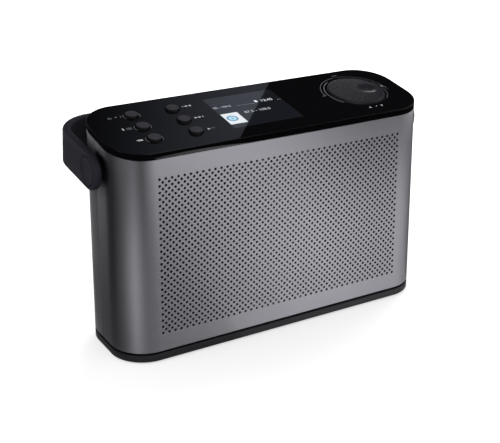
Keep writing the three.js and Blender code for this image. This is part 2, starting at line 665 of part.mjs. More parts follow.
// Paper cone with a rolled surround at its edge and a domed dust cap.
function speakerCone() {
  const edge = SPEAKER_OPENING - BASKET_WALL - SEAT;
  const front = [
    [0, CONE_DEPTH - DUST_CAP_HEIGHT], [DUST_CAP_RADIUS, CONE_DEPTH],
    [edge - 2 * SURROUND_WIDTH, SURROUND_HEIGHT], [edge - SURROUND_WIDTH, SURROUND_HEIGHT / 3],
    [edge, SURROUND_HEIGHT],
  ];
  const back = front.map(([radius, height]) => [radius, height + CONE_WALL]).reverse();
  return turned([...front, ...back], SPEAKER_STEPS);
}

function addSpeaker(group, side, x) {
  const speaker = new THREE.Group();
  speaker.position.set(x, FRAME_BACK + SEAT, GRILLE_CENTRE_Z);
  speaker.rotation.x = -Math.PI / 2;
  addPiece(speaker, `${side}_speaker`, toSolid(speakerBasket()), MAGNET_STEEL);
  addPiece(speaker, `${side}_speaker_cone`, toSolid(speakerCone()), PAPER);
  group.add(speaker);
}

// ---------------------------------------------------------------- fascia

function eachButton(use) {
  BUTTON_NAMES.forEach((names, column) => names.forEach((name, row) => {
    const x = BUTTON_INSET - HALF_WIDTH + column * BUTTON_COLUMN_PITCH;
    use(name, x, BUTTON_MIDDLE + (row - 1) * BUTTON_ROW_PITCH);
  }));
}

function windowPrism(grow, w0, w1) {
  const halfWidth = WINDOW_WIDTH / 2 + grow;
  const halfLength = WINDOW_LENGTH / 2 + grow;
  const shape = roundedRectangle(
    -halfWidth, halfWidth, -halfLength, halfLength, WINDOW_CORNER);
  return prism(shape, w0, w1, 0, SMALL_CORNER_STEPS);
}

// One post at the board's left end and two on each side of the display, between button rows.
function standoffPlaces() {
  const beside = WINDOW_WIDTH / 2 + DISPLAY_BORDER + STANDOFF_INSET;
  const front = BUTTON_MIDDLE - BUTTON_ROW_PITCH / 2;
  const back = BUTTON_MIDDLE + BUTTON_ROW_PITCH / 2;
  return [
    [STANDOFF_INSET - BOARD_HALF_WIDTH, BUTTON_MIDDLE],
    [-beside, front], [beside, front], [-beside, back], [beside, back],
  ];
}

// Fascia: gloss plate flush with the housing, with a rim inside it, dished button holes, a
// pocket for the knob, a rebate for the display window and posts for the control board.
// Drawn in the fascia's frame.
function topPanel() {
  const plate = leanedPlan(0, SEAT - FASCIA_BAND, 0, FASCIA_EDGE, CORNER_STEPS);
  const rim = leanedPlan(RIM_INSET, -RIM_DEPTH, -FASCIA_PLATE, 0, SMALL_CORNER_STEPS);
  const hollow = leanedPlan(
    RIM_INSET + RIM_WALL, -2 * RIM_DEPTH, -FASCIA_PLATE, 0, SMALL_CORNER_STEPS);
  const underside = -FASCIA_PLATE + 1;
  const pocketBlock = placed(
    rod(POCKET_RADIUS + POCKET_FLOOR, -POCKET_DEPTH - POCKET_FLOOR, underside, KNOB_STEPS),
    KNOB_X, KNOB_V, 0);
  const pocket = placed(rod(POCKET_RADIUS, -POCKET_DEPTH, 1, KNOB_STEPS), KNOB_X, KNOB_V, 0);
  const hubHole = placed(rod(KNOB_HUB_RADIUS + KNOB_GAP, -FAR, 0), KNOB_X, KNOB_V, 0);
  const standoffs = standoffPlaces().map(([x, v]) => (
    placed(rod(STANDOFF_RADIUS, -BOARD_DEPTH + SEAT, underside, SMALL_ROUND_STEPS), x, v, 0)));
  const holes = [];
  eachButton((name, x, v) => {
    const hole = BUTTON_RADIUS + BUTTON_GAP;
    holes.push(placed(turned([
      [0, -FAR], [hole, -FAR], [hole, -DISH_DEPTH], [DISH_RADIUS, 0], [DISH_RADIUS, 1], [0, 1],
    ], MEDIUM_ROUND_STEPS), x, v, 0));
  });
  const rebate = placed(windowPrism(SEAT, -WINDOW_THICKNESS - SEAT, 1), 0, WINDOW_CENTRE, 0);
  const sight = placed(windowPrism(-WINDOW_LEDGE, -RIM_DEPTH, 1), 0, WINDOW_CENTRE, 0);
  const notch = new THREE.BoxGeometry(
    4 * AERIAL_NUT_RADIUS, 4 * AERIAL_NUT_RADIUS, 2 * (AERIAL_NUT_RADIUS + SEAT));
  notch.translate(AERIAL_X, COVER_INSIDE - 2 * AERIAL_NUT_RADIUS, AERIAL_Z);
  notch.applyMatrix4(fasciaFrame.clone().invert());
  return cut(
    join(cut(join(plate, rim), hollow), pocketBlock, ...standoffs),
    pocket, hubHole, rebate, sight, toSolid(notch), ...holes);
}

function displayWindow() {
  return toSolid(windowPrism(0, -WINDOW_THICKNESS, 0));
}

function displayModule() {
  const top = -FASCIA_PLATE - SEAT;
  const bottom = top - DISPLAY_THICKNESS;
  const halfWidth = WINDOW_WIDTH / 2 + DISPLAY_BORDER;
  const halfLength = WINDOW_LENGTH / 2;
  const frame = box(-halfWidth, halfWidth, -halfLength, halfLength, bottom, top);
  const glass = toSolid(windowPrism(-2 * WINDOW_LEDGE, top - WINDOW_FLOOR, top + 1));
  return cut(frame, glass);
}

function button() {
  const flangeTop = -FASCIA_PLATE - SEAT;
  const flangeBottom = flangeTop - BUTTON_FLANGE_HEIGHT;
  const stemBottom = -BOARD_DEPTH + SWITCH_SIZE / 2 + SEAT + BUTTON_TRAVEL;
  const edge = BUTTON_RADIUS / 8;
  return turned([
    [0, stemBottom], [BUTTON_STEM_RADIUS, stemBottom], [BUTTON_STEM_RADIUS, flangeBottom],
    [BUTTON_RADIUS + BUTTON_FLANGE, flangeBottom], [BUTTON_RADIUS + BUTTON_FLANGE, flangeTop],
    [BUTTON_RADIUS, flangeTop], [BUTTON_RADIUS, BUTTON_PROUD - edge],
    [BUTTON_RADIUS - edge, BUTTON_PROUD - edge / 4], [0, BUTTON_PROUD],
  ], MEDIUM_ROUND_STEPS);
}

function controlBoard() {
  const top = -BOARD_DEPTH;
  const board = toSolid(prism(
    roundedRectangle(-BOARD_HALF_WIDTH, BOARD_HALF_WIDTH,
      WINDOW_CENTRE - BOARD_HALF_LENGTH, WINDOW_CENTRE + BOARD_HALF_LENGTH, BOARD_CORNER),
    top - BOARD_THICKNESS, top, 0, SMALL_CORNER_STEPS));
  const half = SWITCH_SIZE / 2;
  const switches = [];
  eachButton((name, x, v) => {
    switches.push(box(x - half, x + half, v - half, v + half, top - 1, top + half));
  });
  return join(board, ...switches);
}

// ---------------------------------------------------------------- tuning knob

function tuningKnob() {
  const inside = KNOB_RADIUS - KNOB_WALL;
  const roof = KNOB_PROUD - KNOB_WALL - DIMPLE_DEPTH;
  const boreTop = SHAFT_GRIP - KNOB_HUB_DEPTH;
  const body = toSolid(turned([
    [0, KNOB_PROUD], [KNOB_RADIUS - KNOB_EDGE, KNOB_PROUD], [KNOB_RADIUS, KNOB_PROUD - KNOB_EDGE],
    [KNOB_RADIUS, -KNOB_SKIRT], [inside, -KNOB_SKIRT], [inside, roof],
    [KNOB_HUB_RADIUS, roof], [KNOB_HUB_RADIUS, -KNOB_HUB_DEPTH],
    [SHAFT_RADIUS + SEAT, -KNOB_HUB_DEPTH], [SHAFT_RADIUS + SEAT, boreTop], [0, boreTop],
  ], KNOB_STEPS));
  const dimple = turned([
    [0, KNOB_PROUD - DIMPLE_DEPTH], [DIMPLE_RADIUS * 0.5, KNOB_PROUD - DIMPLE_DEPTH * 0.75],
    [DIMPLE_RADIUS, KNOB_PROUD], [DIMPLE_RADIUS, KNOB_PROUD + 1], [0, KNOB_PROUD + 1],
  ]);
  return cut(body, toSolid(dimple.translate(DIMPLE_OFFSET, 0, 0)));
}

function encoderCavityTop() {
  return -BOARD_DEPTH + SEAT + ENCODER_HEIGHT - 1;
}

function shaftBottom() {
  return -BOARD_DEPTH + 2 * SEAT + KNOB_TRAVEL + PLUNGER_THICKNESS + SEAT;
}

function encoderShaft() {
  const top = SHAFT_GRIP - KNOB_HUB_DEPTH - SEAT;
  return toSolid(rod(SHAFT_RADIUS, shaftBottom(), top));
}

function encoderBody() {
  const bottom = -BOARD_DEPTH + SEAT;
  const half = ENCODER_SIZE / 2;
  const shell = box(-half, half, -half, half, bottom, bottom + ENCODER_HEIGHT);
  return cut(shell,
    toSolid(rod(PLUNGER_RADIUS + SEAT, bottom - 1, encoderCavityTop())),
    toSolid(rod(SHAFT_RADIUS + TURN, bottom, 0)));
}

function encoderPlunger() {
  const bottom = -BOARD_DEPTH + 2 * SEAT + KNOB_TRAVEL;
  return toSolid(rod(PLUNGER_RADIUS, bottom, bottom + PLUNGER_THICKNESS));
}

// ---------------------------------------------------------------- inside

function boardBack() {
  return COVER_INSIDE - SEAT - SOCKET_LENGTH - SEAT;
}

function boardPosts() {
  const x = MAIN_BOARD_WIDTH / 2 - 2 * STANDOFF_RADIUS;
  const z = MAIN_BOARD_HEIGHT / 2 - 2 * STANDOFF_RADIUS;
  return [[-x, -z], [x, -z], [-x, z], [x, z]].map(([dx, dz]) => (
    [MAIN_BOARD_X + dx, MAIN_BOARD_Z + dz]));
}

// Main board, standing just ahead of the rear cover, with its processor can and capacitors.
function mainBoard() {
  const back = boardBack();
  const front = back - BOARD_THICKNESS;
  const halfWidth = MAIN_BOARD_WIDTH / 2;
  const halfHeight = MAIN_BOARD_HEIGHT / 2;
  const board = box(MAIN_BOARD_X - halfWidth, MAIN_BOARD_X + halfWidth, front, back,
    MAIN_BOARD_Z - halfHeight, MAIN_BOARD_Z + halfHeight);
  const can = box(MAIN_BOARD_X - CAN_SIZE / 2, MAIN_BOARD_X + CAN_SIZE / 2,
    front - CAN_THICKNESS, front + 1, MAIN_BOARD_Z, MAIN_BOARD_Z + CAN_SIZE);
  const capacitors = [-2, -1].map((place) => (
    placed(alongY(rod(CAPACITOR_RADIUS, front - CAPACITOR_LENGTH, front + 1, SMALL_ROUND_STEPS)),
      MAIN_BOARD_X - CAN_SIZE / 2 + place * CAPACITOR_PITCH, 0, MAIN_BOARD_Z - CAPACITOR_PITCH)));
  return join(board, can, ...capacitors);
}

// Two cells side by side in a shrink wrap.
function batteryPack() {
  const radius = BATTERY_HEIGHT / 2;
  const half = BATTERY_WIDTH / 2;
  const cells = [-1, 1].map((side) => placed(
    alongX(rod(radius, -half, half)), 0,
    BODY_DEPTH / 2 + side * (BATTERY_DEPTH / 2 - radius), DOOR_SEAT + radius));
  const flank = BATTERY_DEPTH / 2 - radius;
  const middle = box(-half, half, BODY_DEPTH / 2 - flank, BODY_DEPTH / 2 + flank,
    DOOR_SEAT + CELL_HOLLOW, DOOR_SEAT + BATTERY_HEIGHT - CELL_HOLLOW);
  return join(...cells, middle);
}

function socket({ inset, size, bore, pin }) {
  const x = MAIN_BOARD_RIGHT - inset;
  const front = COVER_INSIDE - SEAT - SOCKET_LENGTH;
  const back = COVER_INSIDE - SEAT;
  const block = box(x - size / 2, x + size / 2, front, back,
    SOCKET_Z - size / 2, SOCKET_Z + size / 2);
  const hole = placed(
    alongY(rod(bore, front + 1, back + 1, MEDIUM_ROUND_STEPS)), x, 0, SOCKET_Z);
  if (pin === 0) return cut(block, hole);
  const centre = placed(alongY(rod(pin, front, back - 1, SMALL_ROUND_STEPS)), x, 0, SOCKET_Z);
  return join(cut(block, hole), centre);
}

// ---------------------------------------------------------------- carry handle

// The handle lies in its own frame: origin on the pivot axis, y along the arms to the grip.
function carryHandle() {
  const straight = HANDLE_REACH - HANDLE_BEND_RADIUS;
  const outer = HANDLE_HALF_WIDTH;
  const bend = HANDLE_BEND_RADIUS;
  const innerBend = HANDLE_BEND_RADIUS - HANDLE_THICKNESS;
  const start = -HANDLE_HALF_HEIGHT - 4 * HANDLE_EDGE;
  const shape = new THREE.Shape();
  shape.moveTo(outer, start);
  shape.lineTo(outer, straight);
  shape.absarc(outer - bend, straight, bend, 0, Math.PI / 2);
  shape.lineTo(bend - outer, HANDLE_REACH);
  shape.absarc(bend - outer, straight, bend, Math.PI / 2, Math.PI);
  shape.lineTo(-outer, start);
  shape.lineTo(-HANDLE_INSIDE, start);
  shape.lineTo(-HANDLE_INSIDE, straight);
  shape.absarc(bend - outer, straight, innerBend, Math.PI, Math.PI / 2, true);
  shape.lineTo(outer - bend, straight + innerBend);
  shape.absarc(outer - bend, straight, innerBend, Math.PI / 2, 0, true);
  shape.lineTo(HANDLE_INSIDE, start);
  const strip = toSolid(prism(shape, -HANDLE_HALF_HEIGHT, HANDLE_HALF_HEIGHT, HANDLE_EDGE));

  const profile = new THREE.Shape();
  profile.moveTo(HANDLE_REACH + 1, -HANDLE_HALF_HEIGHT - 1);
  profile.lineTo(HANDLE_REACH + 1, HANDLE_HALF_HEIGHT + 1);
  profile.lineTo(0, HANDLE_HALF_HEIGHT + 1);
  profile.lineTo(0, HANDLE_HALF_HEIGHT);
  profile.absarc(0, 0, HANDLE_HALF_HEIGHT, Math.PI / 2, Math.PI * 1.5);
  profile.lineTo(0, -HANDLE_HALF_HEIGHT - 1);
  const side = prism(profile, -FAR / 2, FAR / 2);
  side.applyMatrix4(new THREE.Matrix4().set(
    0, 0, 1, 0,
    1, 0, 0, 0,
    0, 1, 0, 0,
    0, 0, 0, 1));

  const bore = toSolid(alongX(rod(PIVOT_SPIGOT_RADIUS + TURN, -FAR / 2, FAR / 2, HUB_STEPS)));
  const capDepth = HUB_CAP_THICKNESS + SEAT;
  const headDepth = capDepth + PIVOT_HEAD_HEIGHT + SEAT;
  const recesses = [-1, 1].flatMap((end) => [
    [HUB_CAP_RADIUS + SEAT, capDepth], [PIVOT_HEAD_RADIUS + SEAT, headDepth],
  ].map(([radius, depth]) => {
    const from = HANDLE_HALF_WIDTH - depth;
    const to = HANDLE_HALF_WIDTH + 1;
    const tool = end > 0 ? rod(radius, from, to, HUB_STEPS) : rod(radius, -to, -from, HUB_STEPS);
    return toSolid(alongX(tool));
  }));
  return cut(strip.intersect(toSolid(side)), bore, ...recesses);
}

// Turned pieces of one hub, drawn outwards along X from the middle of the radio.
function hubCap() {
  const outside = HANDLE_HALF_WIDTH;
  const edge = HANDLE_EDGE / 3;
  return turned([
    [0, outside - HUB_CAP_THICKNESS], [HUB_CAP_RADIUS, outside - HUB_CAP_THICKNESS],
    [HUB_CAP_RADIUS, outside - edge], [HUB_CAP_RADIUS - edge, outside], [0, outside],
  ], HUB_STEPS);
}

function pivotWasherFace() {
  return HANDLE_INSIDE - SEAT;
}

function handlePivot() {
  const flangeFace = HALF_WIDTH - FRAME_INSET - FRAME_WALL - SEAT;
  const bore = PIVOT_SCREW_RADIUS + SEAT;
  const spigotEnd = HANDLE_HALF_WIDTH - HUB_CAP_THICKNESS - PIVOT_HEAD_HEIGHT - 3 * SEAT;
  return turned([
    [bore, flangeFace - PIVOT_FLANGE], [PIVOT_FLANGE_RADIUS, flangeFace - PIVOT_FLANGE],
    [PIVOT_FLANGE_RADIUS, flangeFace], [PIVOT_BARREL_RADIUS, flangeFace],
    [PIVOT_BARREL_RADIUS, HALF_WIDTH + SEAT], [PIVOT_WASHER_RADIUS, HALF_WIDTH + SEAT],
    [PIVOT_WASHER_RADIUS, pivotWasherFace()], [PIVOT_SPIGOT_RADIUS, pivotWasherFace()],
    [PIVOT_SPIGOT_RADIUS, spigotEnd], [bore, spigotEnd], [bore, flangeFace - PIVOT_FLANGE],
  ], HUB_STEPS);
}

function pivotScrew() {
  const headOutside = HANDLE_HALF_WIDTH - HUB_CAP_THICKNESS - 2 * SEAT;
  const headInside = headOutside - PIVOT_HEAD_HEIGHT;
  const tail = HALF_WIDTH - FRAME_INSET - FRAME_WALL;
  return turned([
    [0, tail], [PIVOT_SCREW_RADIUS, tail], [PIVOT_SCREW_RADIUS, headInside],
    [PIVOT_HEAD_RADIUS, headInside], [PIVOT_HEAD_RADIUS, headOutside], [0, headOutside],
  ]);
}

// ---------------------------------------------------------------- telescopic aerial

// Swivel: turns in the rear cover about its stem and holds the rod's tongue in its fork.
function aerialSwivel() {
  const nutBack = -AERIAL_STANDOFF - COVER_WALL - SEAT;
  const headFront = -AERIAL_STANDOFF + SEAT;
  const body = toSolid(alongY(turned([
    [0, nutBack - AERIAL_NUT_THICKNESS], [AERIAL_NUT_RADIUS, nutBack - AERIAL_NUT_THICKNESS],
    [AERIAL_NUT_RADIUS, nutBack], [AERIAL_STEM_RADIUS, nutBack], [AERIAL_STEM_RADIUS, headFront],
    [AERIAL_HEAD_RADIUS, headFront], [AERIAL_HEAD_RADIUS, headFront + AERIAL_HEAD_HEIGHT],
    [0, headFront + AERIAL_HEAD_HEIGHT],
  ])));
  const slot = TONGUE_THICKNESS / 2 + SEAT;
  return cut(body,
    box(-FAR, FAR, -TUBE_RADIUS - SEAT / 2, FAR, -slot, slot),
    toSolid(rod(AERIAL_PIN_RADIUS + SEAT, -FAR, FAR, SMALL_ROUND_STEPS)));
}

function aerialPin() {
  const reach = AERIAL_HEAD_RADIUS * 0.8;
  return toSolid(rod(AERIAL_PIN_RADIUS, -reach, reach, SMALL_ROUND_STEPS));
}

// Outer tube with the flat tongue that is pinned in the swivel's fork.
function aerialTube() {
  const half = TONGUE_THICKNESS / 2;
  const body = toSolid(alongX(tube(
    TUBE_RADIUS, TUBE_RADIUS - TUBE_WALL, -AERIAL_TONGUE - TUBE_LENGTH, -AERIAL_TONGUE,
    SMALL_ROUND_STEPS)));
  const plug = toSolid(alongX(rod(TUBE_RADIUS, -AERIAL_TONGUE - 1, -AERIAL_HEAD_RADIUS - 1,
    SMALL_ROUND_STEPS)));
  const eye = toSolid(rod(TUBE_RADIUS - SEAT, -half, half, SMALL_ROUND_STEPS));
  const tongue = box(-AERIAL_TONGUE, 0, SEAT - TUBE_RADIUS, TUBE_RADIUS - SEAT, -half, half);
  const hole = toSolid(rod(AERIAL_PIN_RADIUS + SEAT, -FAR, FAR, SMALL_ROUND_STEPS));
  return cut(join(body, plug, eye, tongue), hole);
}

function aerialSection(index) {
  const radius = TUBE_RADIUS - index * TUBE_STEP;
  const start = -AERIAL_TONGUE - 1 - SEAT;
  const end = -AERIAL_TONGUE - TUBE_LENGTH - index * TUBE_SHOW;
  if (index < TUBE_SECTIONS - 1) {
    return toSolid(alongX(tube(radius, radius - TUBE_WALL, end, start, SMALL_ROUND_STEPS)));
  }
  const stick = toSolid(alongX(rod(radius, end - 1, start, SMALL_ROUND_STEPS)));
  const tip = toSolid(alongX(turned([
    [0, end - TIP_LENGTH], [TUBE_RADIUS - SEAT, end - TIP_LENGTH],
    [TUBE_RADIUS, end - TIP_LENGTH + SEAT], [TUBE_RADIUS, end - SEAT],
    [TUBE_RADIUS - SEAT, end], [0, end],
  ], SMALL_ROUND_STEPS)));
  return join(stick, tip);
}

// ---------------------------------------------------------------- assembly

function addPiece(group, name, solid, look) {
  const piece = new THREE.Mesh(toGeometry(solid), look);
  piece.name = name;
  group.add(piece);
  return piece;
}

const radio = new THREE.Group();
radio.position.set(0, -OVERALL_DEPTH / 2, 0);

addPiece(radio, 'front_sleeve', frontSleeve(), ALUMINIUM);
addPiece(radio, 'speaker_grille', speakerGrille(), ALUMINIUM);
addPiece(radio, 'grille_cloth', grilleCloth(), CLOTH);
addPiece(radio, 'front_frame', frontFrame(), BLACK_ABS);
addPiece(radio, 'rear_cover', rearCover(), COVER_PAINT);
addPiece(radio, 'bottom_cover', bottomCover(), BLACK_ABS);
footPlaces().forEach(([name, x, y]) => {
  addPiece(radio, name, foot(), RUBBER).position.set(x, y, 0);
});
SCREW_PLACES.forEach(([x, y], index) => {
  addPiece(radio, `case_screw_${index + 1}`, caseScrew(), STEEL).position.set(x, y, 0);
});

addSpeaker(radio, 'left', -SPEAKER_X);
addSpeaker(radio, 'right', SPEAKER_X);
addPiece(radio, 'battery_door', batteryDoor(), BLACK_ABS);
addPiece(radio, 'battery_pack', batteryPack(), CELL_WRAP);
addPiece(radio, 'main_board', mainBoard(), BOARD_GREEN);
SOCKETS.forEach((item) => addPiece(radio, item.name, socket(item), BLACK_ABS));

const fascia = new THREE.Group();
fascia.position.set(0, 0, FASCIA_TOP);
fascia.rotation.x = TOP_SLOPE;
radio.add(fascia);
addPiece(fascia, 'top_panel', topPanel(), GLOSS_BLACK);
addPiece(fascia, 'display_window', displayWindow(), GLASS).position.y = WINDOW_CENTRE;
addPiece(fascia, 'display_module', displayModule(), LCD).position.y = WINDOW_CENTRE;
addPiece(fascia, 'control_board', controlBoard(), BOARD_GREEN);
eachButton((name, x, v) => {
  addPiece(fascia, `${name}_button`, toSolid(button()), SOFT_TOUCH).position.set(x, v, 0);
});

const tuning = new THREE.Group();
tuning.position.set(KNOB_X, KNOB_V, 0);
fascia.add(tuning);
addPiece(tuning, 'tuning_knob', tuningKnob(), SOFT_TOUCH);
addPiece(tuning, 'encoder_shaft', encoderShaft(), STEEL);
addPiece(tuning, 'encoder_plunger', encoderPlunger(), STEEL);
addPiece(tuning, 'encoder_body', encoderBody(), BLACK_ABS);

const handle = new THREE.Group();
handle.position.set(0, HANDLE_PIVOT_Y, HANDLE_PIVOT_Z);
handle.rotation.x = HANDLE_REST_TILT;
radio.add(handle);
addPiece(handle, 'carry_handle', carryHandle(), SOFT_TOUCH);
[['right', 1], ['left', -1]].forEach(([side, direction]) => {
  const hub = new THREE.Group();
  hub.rotation.y = direction * Math.PI / 2;
  handle.add(hub);
  addPiece(hub, `hub_cap_${side}`, toSolid(hubCap()), SOFT_TOUCH);
  addPiece(hub, `handle_pivot_${side}`, toSolid(handlePivot()), BLACK_ABS);
  addPiece(hub, `pivot_screw_${side}`, toSolid(pivotScrew()), STEEL);
});

const aerial = new THREE.Group();
aerial.position.set(AERIAL_X, AERIAL_Y, AERIAL_Z);
radio.add(aerial);
addPiece(aerial, 'aerial_swivel', aerialSwivel(), STEEL);
addPiece(aerial, 'aerial_pin', aerialPin(), STEEL);
addPiece(aerial, 'aerial_tube', aerialTube(), STEEL);
for (let index = 1; index < TUBE_SECTIONS; index += 1) {
  addPiece(aerial, `aerial_section_${index}`, aerialSection(index), STEEL);
}

export default radio;
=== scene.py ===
import json
import math

import bmesh
import bpy
from bpy.props import FloatProperty, FloatVectorProperty, IntProperty, PointerProperty
from mathutils import Matrix, Vector


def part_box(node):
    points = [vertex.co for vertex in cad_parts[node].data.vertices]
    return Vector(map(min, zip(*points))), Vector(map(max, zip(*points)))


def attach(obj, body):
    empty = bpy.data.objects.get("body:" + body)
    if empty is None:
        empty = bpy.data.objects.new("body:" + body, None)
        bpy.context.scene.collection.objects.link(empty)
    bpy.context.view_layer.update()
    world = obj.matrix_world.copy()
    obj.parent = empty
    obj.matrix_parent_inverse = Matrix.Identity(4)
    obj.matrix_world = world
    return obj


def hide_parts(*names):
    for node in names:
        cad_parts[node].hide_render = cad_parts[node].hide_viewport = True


# Portable tabletop radio, dressed over its CAD parts: perforated brushed aluminium sleeve,
# painted rear cover, gloss black control fascia, knob, buttons, display, carry handle and
# telescopic aerial. Metres, in the CAD model's own frame: +Z up, the front faces -Y.

bl_info = {
    "name": "Tabletop radio",
    "version": (1, 0, 0),
    "blender": (4, 5, 0),
    "location": "View3D > Sidebar > Radio",
    "description": "Shapes and finishes a portable tabletop radio over its CAD parts",
    "category": "Object",
}

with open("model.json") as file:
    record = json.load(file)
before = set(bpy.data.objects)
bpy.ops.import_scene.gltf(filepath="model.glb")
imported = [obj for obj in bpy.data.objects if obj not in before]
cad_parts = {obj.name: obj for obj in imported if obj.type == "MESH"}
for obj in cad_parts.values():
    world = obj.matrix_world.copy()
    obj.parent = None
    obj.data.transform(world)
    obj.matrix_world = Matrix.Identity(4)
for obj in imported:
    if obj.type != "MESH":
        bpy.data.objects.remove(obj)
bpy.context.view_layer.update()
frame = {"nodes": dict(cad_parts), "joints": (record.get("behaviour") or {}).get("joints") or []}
MM = 0.001


# ------------------------------------------------------------------ places, from the frame

def joint(name):
    return next(j for j in frame["joints"] if j["name"] == name)


BASE_LOW, BASE_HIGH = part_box("bottom_cover")
SLEEVE_LOW, SLEEVE_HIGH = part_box("front_sleeve")
GRILLE_LOW, GRILLE_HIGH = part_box("speaker_grille")
WINDOW_LOW, WINDOW_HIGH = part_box("display_window")
HANDLE_LOW, HANDLE_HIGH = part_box("carry_handle")

UP_AXIS = Vector(joint("knob_turn")["axis"])
SLOPE = math.atan2(-UP_AXIS.y, UP_AXIS.z)
RISE = math.tan(SLOPE)
HALF_WIDTH = BASE_HIGH.x
FRONT = BASE_LOW.y
BACK = BASE_HIGH.y
SEAM = SLEEVE_HIGH.y
SLEEVE_BOTTOM = SLEEVE_LOW.z
SLEEVE_TOP = SLEEVE_HIGH.z - (SEAM - FRONT) * RISE  # at the front face
FASCIA_TOP = WINDOW_HIGH.z - (WINDOW_HIGH.y - FRONT) * RISE
FASCIA = Matrix.Translation((0, FRONT, FASCIA_TOP)) @ Matrix.Rotation(SLOPE, 4, "X")
KNOB = Vector(joint("knob_turn")["pos_m"])
HANDLE_PIVOT = Vector(joint("handle_swing")["pos_m"])
HANDLE_TILT = math.radians(6.1)  # the arms' rise from the pivot to the grip, at rest
AERIAL = Vector(joint("aerial_tilt")["pos_m"])

HOUSING = "housing"
BUTTONS = ("power", "source", "menu", "previous", "next", "play")
SOCKETS = (("dc_socket", 4.1 * MM, 3.0 * MM), ("aux_socket", 2.7 * MM, 1.75 * MM),
           ("headphone_socket", 2.7 * MM, 1.75 * MM))  # node, outside and bore radius
KNOB_SIDE = 19.2 * MM
AERIAL_TUBE = 2.2 * MM  # radius of the outer tube


def on_fascia(x, v, w=0.0):
    """A point on the sloping fascia: x across, v up the slope from the front, w out of it."""
    return FASCIA @ Vector((x, v, w))


def fascia_place(point):
    return FASCIA.inverted() @ point


# ------------------------------------------------------------------ materials

def srgb(code):
    """Linear RGBA of a hex colour."""
    parts = [int(code[i:i + 2], 16) / 255 for i in (1, 3, 5)]
    return [p / 12.92 if p <= 0.04045 else ((p + 0.055) / 1.055) ** 2.4 for p in parts] + [1.0]


def add_node(tree, kind, settings=None, values=None, links=None):
    """Adds a node: settings are its own fields, values its sockets, links what feeds them."""
    node = tree.nodes.new(kind)
    for name, value in (settings or {}).items():
        setattr(node, name, value)
    for name, value in (values or {}).items():
        node.inputs[name].default_value = value
    for name, source in (links or {}).items():
        tree.links.new(source, node.inputs[name])
    return node


def new_material(name):
    made = bpy.data.materials.new(name)
    made.use_nodes = True
    made.node_tree.nodes.clear()
    return made


def toned(color, factor):
    return [min(1.0, c * factor) for c in color[:3]] + [1.0]


def grained(name, color, spacing, tones, shine, depth=0.0, stretch=(1, 1, 1), more=None):
    """A finish with one fine grain in it. Spacing is the distance between the grain's features
    in metres, drawn out along an axis by stretch. Tones are the factors on the colour in the
    grain's dark and light places, shine the roughness there, and depth its relief in metres.
    More holds the shader's other sockets."""
    made = new_material(name)
    tree = made.node_tree
    place = add_node(tree, "ShaderNodeTexCoord")
    mapping = add_node(tree, "ShaderNodeMapping",
                       values={"Scale": [1 / (spacing * share) for share in stretch]},
                       links={"Vector": place.outputs["Object"]})
    noise = add_node(tree, "ShaderNodeTexNoise",
                     values={"Scale": 1.0, "Detail": 3.0, "Roughness": 0.6},
                     links={"Vector": mapping.outputs["Vector"]})
    strong = add_node(tree, "ShaderNodeMapRange", values={"From Min": 0.3, "From Max": 0.7},
                      links={"Value": noise.outputs["Fac"]})
    tint = add_node(tree, "ShaderNodeMix", {"data_type": "RGBA"},
                    {6: toned(color, tones[0]), 7: toned(color, tones[1])},
                    {0: strong.outputs["Result"]})
    rough = add_node(tree, "ShaderNodeMapRange", values={"To Min": shine[0], "To Max": shine[1]},
                     links={"Value": strong.outputs["Result"]})
    links = {"Base Color": tint.outputs[2], "Roughness": rough.outputs["Result"]}
    if depth:
        relief = add_node(tree, "ShaderNodeBump", values={"Distance": depth, "Strength": 0.4},
                          links={"Height": noise.outputs["Fac"]})
        links["Normal"] = relief.outputs["Normal"]
    shader = add_node(tree, "ShaderNodeBsdfPrincipled", values=more, links=links)
    add_node(tree, "ShaderNodeOutputMaterial", links={"Surface": shader.outputs["BSDF"]})
    return made


def brushed_aluminium(color):
    """Aluminium sheet, brushed along its length and anodised gunmetal: long fine lines, and
    reflections that smear up and down but stay narrow across."""
    # The brush lines are about 0.1 mm apart; they are drawn 0.5 mm apart, so that they show.
    made = grained("brushed anodised aluminium", color, 0.5 * MM, (0.94, 1.05), (0.41, 0.49),
                   0.008 * MM, (45, 45, 1),
                   {"Metallic": 1.0, "Anisotropic": 0.9, "Anisotropic Rotation": 0.25})
    tree = made.node_tree
    round_z = add_node(tree, "ShaderNodeTangent", {"direction_type": "RADIAL", "axis": "Z"})
    tree.links.new(round_z.outputs["Tangent"], tree.nodes["Principled BSDF"].inputs["Tangent"])
    return made


def cover_paint(color):
    """Metallic grey paint sprayed on moulded ABS: fine sparkle and a soft sheen."""
    # Flakes are about 0.05 mm; they are drawn at 0.6 mm.
    return grained("metallic paint on moulded ABS", color, 0.6 * MM, (0.93, 1.07), (0.42, 0.5),
                   0.01 * MM, more={"Metallic": 0.75, "Coat Weight": 0.15, "Coat Roughness": 0.3})


def moulded_plastic(name, color, roughness, spacing, depth, ior=1.5):
    """Plastic or rubber from a spark-eroded mould: matt, with a faint pebbled light."""
    return grained(name, color, spacing, (0.9, 1.1), (roughness - 0.05, roughness + 0.05), depth,
                   more={"IOR": ior})


def black_abs():
    """Matt black ABS of the parts that carry the button caps and the knob's cap."""
    return moulded_plastic("moulded black ABS", srgb("#131316"), 0.5, 0.5 * MM, 0.02 * MM, 1.4)


def gloss_acrylic(color):
    """Polished black acrylic: deep and dark, with clear reflections and faint polish marks."""
    return grained("polished black acrylic", color, 9 * MM, (0.9, 1.1), (0.012, 0.02),
                   more={"IOR": 1.45})


